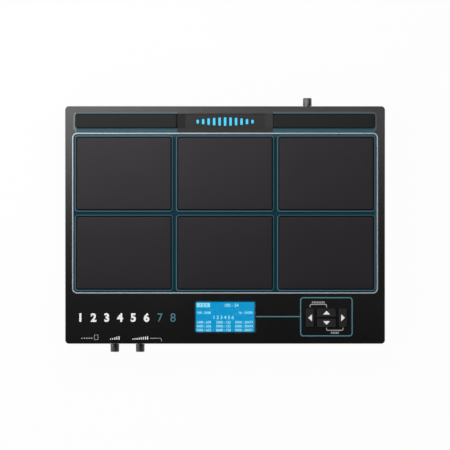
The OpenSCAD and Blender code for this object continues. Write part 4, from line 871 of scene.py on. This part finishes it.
for key_way, key_turn in key_turns.items():
    node = key_way + "_key"
    low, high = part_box(node)
    middle = (low + high) / 2
    key_bm = bmesh.new()
    seat = rounded_face(key_bm, low, high, key_seat, key_corner + key_flange)
    top = rise(key_bm, [seat], key_flange_height)
    bmesh.ops.inset_region(key_bm, faces=top, thickness=key_flange, use_even_offset=True)
    top = rise(key_bm, top, high.z - key_seat - key_flange_height)
    round_over(key_bm, top, key_edge, 4)
    top = top_face(key_bm)
    for step, drop in dish_steps:
        inset = Vector((step, step))
        top = step_in(key_bm, top, low.xy + inset, high.xy - inset, high.z - drop, dish_corner)
    stem_foot = (low.z - key_seat) / mm
    stem_profile = ((0, 0.3), (key_stem, 0.3), (key_stem, stem_foot + 0.2), (key_stem - 0.2, stem_foot),
                    (0, stem_foot))
    lathe(key_bm, stem_profile, Matrix.Translation((middle.x, middle.y, key_seat)), 24)
    add_piece(node + "_cap", key_bm, key_plastic, node + "_cap", "key_plastic", node)
    arrow_bm = bmesh.new()
    points = [arrow_bm.verts.new((x, y, 0)) for x, y in (
        (-arrow_base / 2, -arrow_height / 2), (arrow_base / 2, -arrow_height / 2), (0, arrow_height / 2))]
    arrow_bm.faces.new(points)
    bmesh.ops.bevel(arrow_bm, geom=points, offset=arrow_corner, offset_type="OFFSET", affect="VERTICES",
                    segments=2, profile=0.5, material=-1)
    rise(arrow_bm, arrow_bm.faces[:], mark_height)
    arrow_place = Matrix.Translation((middle.x, middle.y, high.z - arrow_sink))
    arrow_turn = Matrix.Rotation(math.radians(key_turn), 4, "Z")
    bmesh.ops.transform(arrow_bm, matrix=arrow_place @ arrow_turn, verts=arrow_bm.verts)
    add_piece(key_way + "_arrow", arrow_bm, print_white, node + "_cap", "key_plastic")

# Knobs: black plastic knobs with fluted grips and a smooth skirt, pushed on the shafts of the
# potentiometers, with a white pointer line on the tip. Two are at the front, one at the rear.
knob_flutes = 18
flute_depth = 0.18 * mm
grip_start = 1.9 * mm
grip_rise = 0.7 * mm
tip_face = 3.5 * mm
pointer_low = (-0.35 * mm, 0.9 * mm)
pointer_high = (0.35 * mm, 2.9 * mm)
pointer_seat = 8.22 * mm
pointer_height = 0.175 * mm
knob_profile = (
    (0, -0.4), (4.7, -0.4), (4.88, -0.25), (4.88, 1.3), (4.84, 1.6), (4.74, 1.75), (4.75, 2.1), (4.78, 2.6),
    (4.74, 7.2), (4.64, 7.7), (4.35, 8.12), (3.9, 8.34), (3.4, 8.4), (2.6, 8.32), (0, 8.2))
for knob_name, knob_way in (("main", -1), ("phones", -1), ("contrast", 1)):
    low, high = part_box(knob_name + "_knob")
    middle = (low + high) / 2
    place = out_of_wall(middle.x, low.y if knob_way > 0 else high.y, middle.z, knob_way)
    knob_bm = bmesh.new()
    verts = lathe(knob_bm, knob_profile, Matrix(), 8 * knob_flutes)
    for vert in verts:
        angle = math.atan2(vert.co.y, vert.co.x)
        grip = min(1, max(0, (vert.co.z - grip_start) / grip_rise))
        if vert.co.xy.length > tip_face:
            dip = flute_depth * grip * (0.5 + 0.5 * math.cos(knob_flutes * angle)) ** 2
            vert.co.xy *= 1 - dip / vert.co.xy.length
    bmesh.ops.transform(knob_bm, matrix=place, verts=knob_bm.verts)
    add_piece(knob_name + "_fluted_knob", knob_bm, knob_plastic, knob_name + "_control", "knob_plastic",
              knob_name + "_knob")
    pointer_bm = bmesh.new()
    rise(pointer_bm, bar(pointer_bm, pointer_low, pointer_high, pointer_seat), pointer_height)
    spin = Matrix.Rotation(math.pi if knob_way > 0 else 0, 4, "Z")
    bmesh.ops.transform(pointer_bm, matrix=place @ spin, verts=pointer_bm.verts)
    add_piece(knob_name + "_pointer", pointer_bm, print_white, knob_name + "_control", "knob_plastic")


# Printed marks: thin ink on the deck, screen-printed after moulding. Plain figures number the pads
# at the front left, small signs stand over the front knobs and the card slot, lines tie the keys
# together, and cyan bars lie on the sunken plate.
def band(bm, centre, radius, width, start, end, z):
    """A flat curved line about a centre, between two angles in degrees."""
    before = set(bm.faces)
    ends = []
    for distance in (radius - width / 2, radius + width / 2):
        ends.append(bm.verts.new((centre[0] + distance * math.cos(math.radians(start)),
                                  centre[1] + distance * math.sin(math.radians(start)), z)))
    line = bm.edges.new(ends)
    bmesh.ops.spin(bm, geom=ends + [line], cent=(centre[0], centre[1], z), axis=(0, 0, 1),
                   angle=math.radians(end - start), steps=max(4, int(abs(end - start) / 10)))
    return [face for face in bm.faces if face not in before]


def printed(name, bm, marks, material):
    """Gives flat marks the thickness of ink and adds them to the deck."""
    rise(bm, marks, mark_height)
    add_piece(name, bm, material, "housing", "case_plastic")


ink = deck + mark_lift
numbers_y = -101.1 * mm
numbers_pitch = 14.5 * mm
white_start = -158.5 * mm
white_height = 8.9 * mm
white_bold = 0.5 * mm
white_bm = bmesh.new()
white_marks = []
for count in range(6):
    white_marks += number_row(white_bm, str(count + 1), white_start + numbers_pitch * count, numbers_y, ink,
                              white_height, white_bold)
printed("pad_numbers", white_bm, white_marks, print_white)


def inked(name, colour, **steady):
    """Screen-printed ink, slightly worn."""
    material, place = new_finish(name)
    wear = place.noise(0.5 * mm, 4)
    paint(material, {
        "Base Color": wear.mix(tint(colour, 0.85), tint(colour, 1.1)),
        "Roughness": 0.5 + 0.1 * wear,
        **steady})
    return material


print_teal = inked("print_teal", (0.07, 0.23, 0.28))
print_grey = inked("print_grey", (0.42, 0.42, 0.43))
# Painted glow: the cyan ink's emission makes the printed bars glow, though nothing lights them from behind.
print_cyan_painted_glow = inked("print_cyan_painted_glow", (0.03, 0.50, 0.80), **{
    "Emission Color": (0.005, 0.16, 0.26, 1), "Emission Strength": 1.0})

teal_start = -71.5 * mm
teal_height = 9.6 * mm
teal_bold = -0.05 * mm
teal_bm = bmesh.new()
teal_marks = []
for count in range(2):
    teal_marks += number_row(teal_bm, str(count + 7), teal_start + numbers_pitch * count, numbers_y, ink,
                             teal_height, teal_bold)
keys_x = 111.1 * mm
keys_y = -101.6 * mm
line = 1.2 * mm
outline_half = Vector((28.8 * mm, 21.5 * mm))
outline_middle = Vector((keys_x - 0.2 * mm, keys_y + 1.1 * mm))
outline_low = outline_middle - outline_half
outline_corner = 3.6 * mm
teal_marks += flat_ring(teal_bm, outline_low, outline_middle + outline_half, ink, outline_corner, line)
link_x = 34 * mm
link_y = -100.3 * mm
link_lap = 0.3 * mm
link_lift = 0.002 * mm
teal_marks += bar(teal_bm, (link_x, link_y - line / 2), (outline_low.x + link_lap, link_y + line / 2),
                  ink + link_lift)
printed("teal_lines", teal_bm, teal_marks, print_teal)

grey_bm = bmesh.new()
grey_marks = []
thin = 0.9 * mm
bend = 1.2 * mm
line_corner = 0.1 * mm
side_key = 18.05 * mm
for way, start_x, end_x, run_y, leg_end in (
        (1, keys_x - side_key, keys_x, keys_y + 14.7 * mm, keys_y + 11.5 * mm),
        (-1, keys_x, keys_x + side_key, keys_y - 13.7 * mm, keys_y - 10.9 * mm)):
    grey_marks += bar(grey_bm, (start_x + bend, run_y - thin / 2), (end_x - bend, run_y + thin / 2), ink,
                      line_corner)
    for corner_x, first in ((start_x + bend, 90 if way > 0 else 180), (end_x - bend, 0 if way > 0 else 270)):
        grey_marks += band(grey_bm, (corner_x, run_y - way * bend), bend, thin, first, first + 90, ink)
    for leg_x in (start_x, end_x):
        leg = sorted((run_y - way * bend, leg_end))
        grey_marks += bar(grey_bm, (leg_x - thin / 2, leg[0]), (leg_x + thin / 2, leg[1]), ink, line_corner)
tick_pitch = 1.8 * mm
tick_half = Vector((0.55 * mm, 1.1 * mm))
tick_corner = 0.3 * mm
for tick_way, tick_count, tick_y in ((-1, 8, 16.9 * mm), (1, 5, -16.4 * mm)):
    for tick in range(tick_count):
        tick_x = keys_x + tick_way * side_key / 2 + (tick - (tick_count - 1) / 2) * tick_pitch
        tick_middle = Vector((tick_x, keys_y + tick_y))
        grey_marks += bar(grey_bm, tick_middle - tick_half, tick_middle + tick_half, ink, tick_corner)
printed("grey_lines", grey_bm, grey_marks, print_grey)

card_bm = bmesh.new()
card_middle = Vector((-141.1 * mm, -122.9 * mm))
card_half = Vector((2.2 * mm, 2.9 * mm))
card_corner = 0.9 * mm
card_line = 0.5 * mm
card_marks = flat_ring(card_bm, card_middle - card_half, card_middle + card_half, ink, card_corner, card_line)
dash_start = Vector((-15.6 * mm, -1.05 * mm))
dash_pitch = Vector((2.6 * mm, 0))
dash_half = Vector((0.9 * mm, 0.55 * mm))
for dash in range(5):
    dash_middle = card_middle + dash_start + dash * dash_pitch
    card_marks += bar(card_bm, dash_middle - dash_half, dash_middle + dash_half, ink)
jack_low, jack_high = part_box("phones_jack")
jack_x = (jack_low.x + jack_high.x) / 2
tie_x = -82 * mm
tie_y = -124 * mm
tie_bend = 2 * mm
tie_leg = 1.4 * mm
tie = 0.6 * mm
leg_y = tie_y - tie_bend
card_marks += bar(card_bm, (tie_x, tie_y - tie / 2), (jack_x - tie_bend, tie_y + tie / 2), ink, line_corner)
card_marks += band(card_bm, (jack_x - tie_bend, leg_y), tie_bend, tie, 0, 90, ink)
card_marks += bar(card_bm, (jack_x - tie / 2, leg_y - tie_leg), (jack_x + tie / 2, leg_y), ink, line_corner)
printed("card_and_jack_signs", card_bm, card_marks, print_grey)

sign_bm = bmesh.new()
sign_marks = []
sign_foot = -125.5 * mm
sign_half = 0.55 * mm
sign_pitch = 2.3 * mm
sign_least = 1.2 * mm
sign_growth = 2.4 * mm
for sign_node, sign_steps in (("main_knob", 5), ("phones_knob", 8)):
    low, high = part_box(sign_node)
    sign_x = (low.x + high.x) / 2
    for step in range(sign_steps):
        step_x = sign_x + (step - (sign_steps - 1) / 2) * sign_pitch
        step_top = sign_foot + sign_least + sign_growth * step / (sign_steps - 1)
        sign_marks += bar(sign_bm, (step_x - sign_half, sign_foot), (step_x + sign_half, step_top), ink)
printed("level_signs", sign_bm, sign_marks, print_white)

cyan_bm = bmesh.new()
cyan_marks = []
recess_floor = 49 * mm + mark_lift
cyan_y = 113.2 * mm
cyan_pitch = 6.0 * mm
cyan_half = 1.3 * mm
cyan_corner = 0.8 * mm
for count in range(-5, 6):
    bar_x = count * cyan_pitch
    bar_half = (2.0 + 2.6 * math.cos(count / 5 * math.pi / 2)) * mm
    cyan_marks += bar(cyan_bm, (bar_x - cyan_half, cyan_y - bar_half), (bar_x + cyan_half, cyan_y + bar_half),
                      recess_floor, cyan_corner)
printed("centre_bars", cyan_bm, cyan_marks, print_cyan_painted_glow)
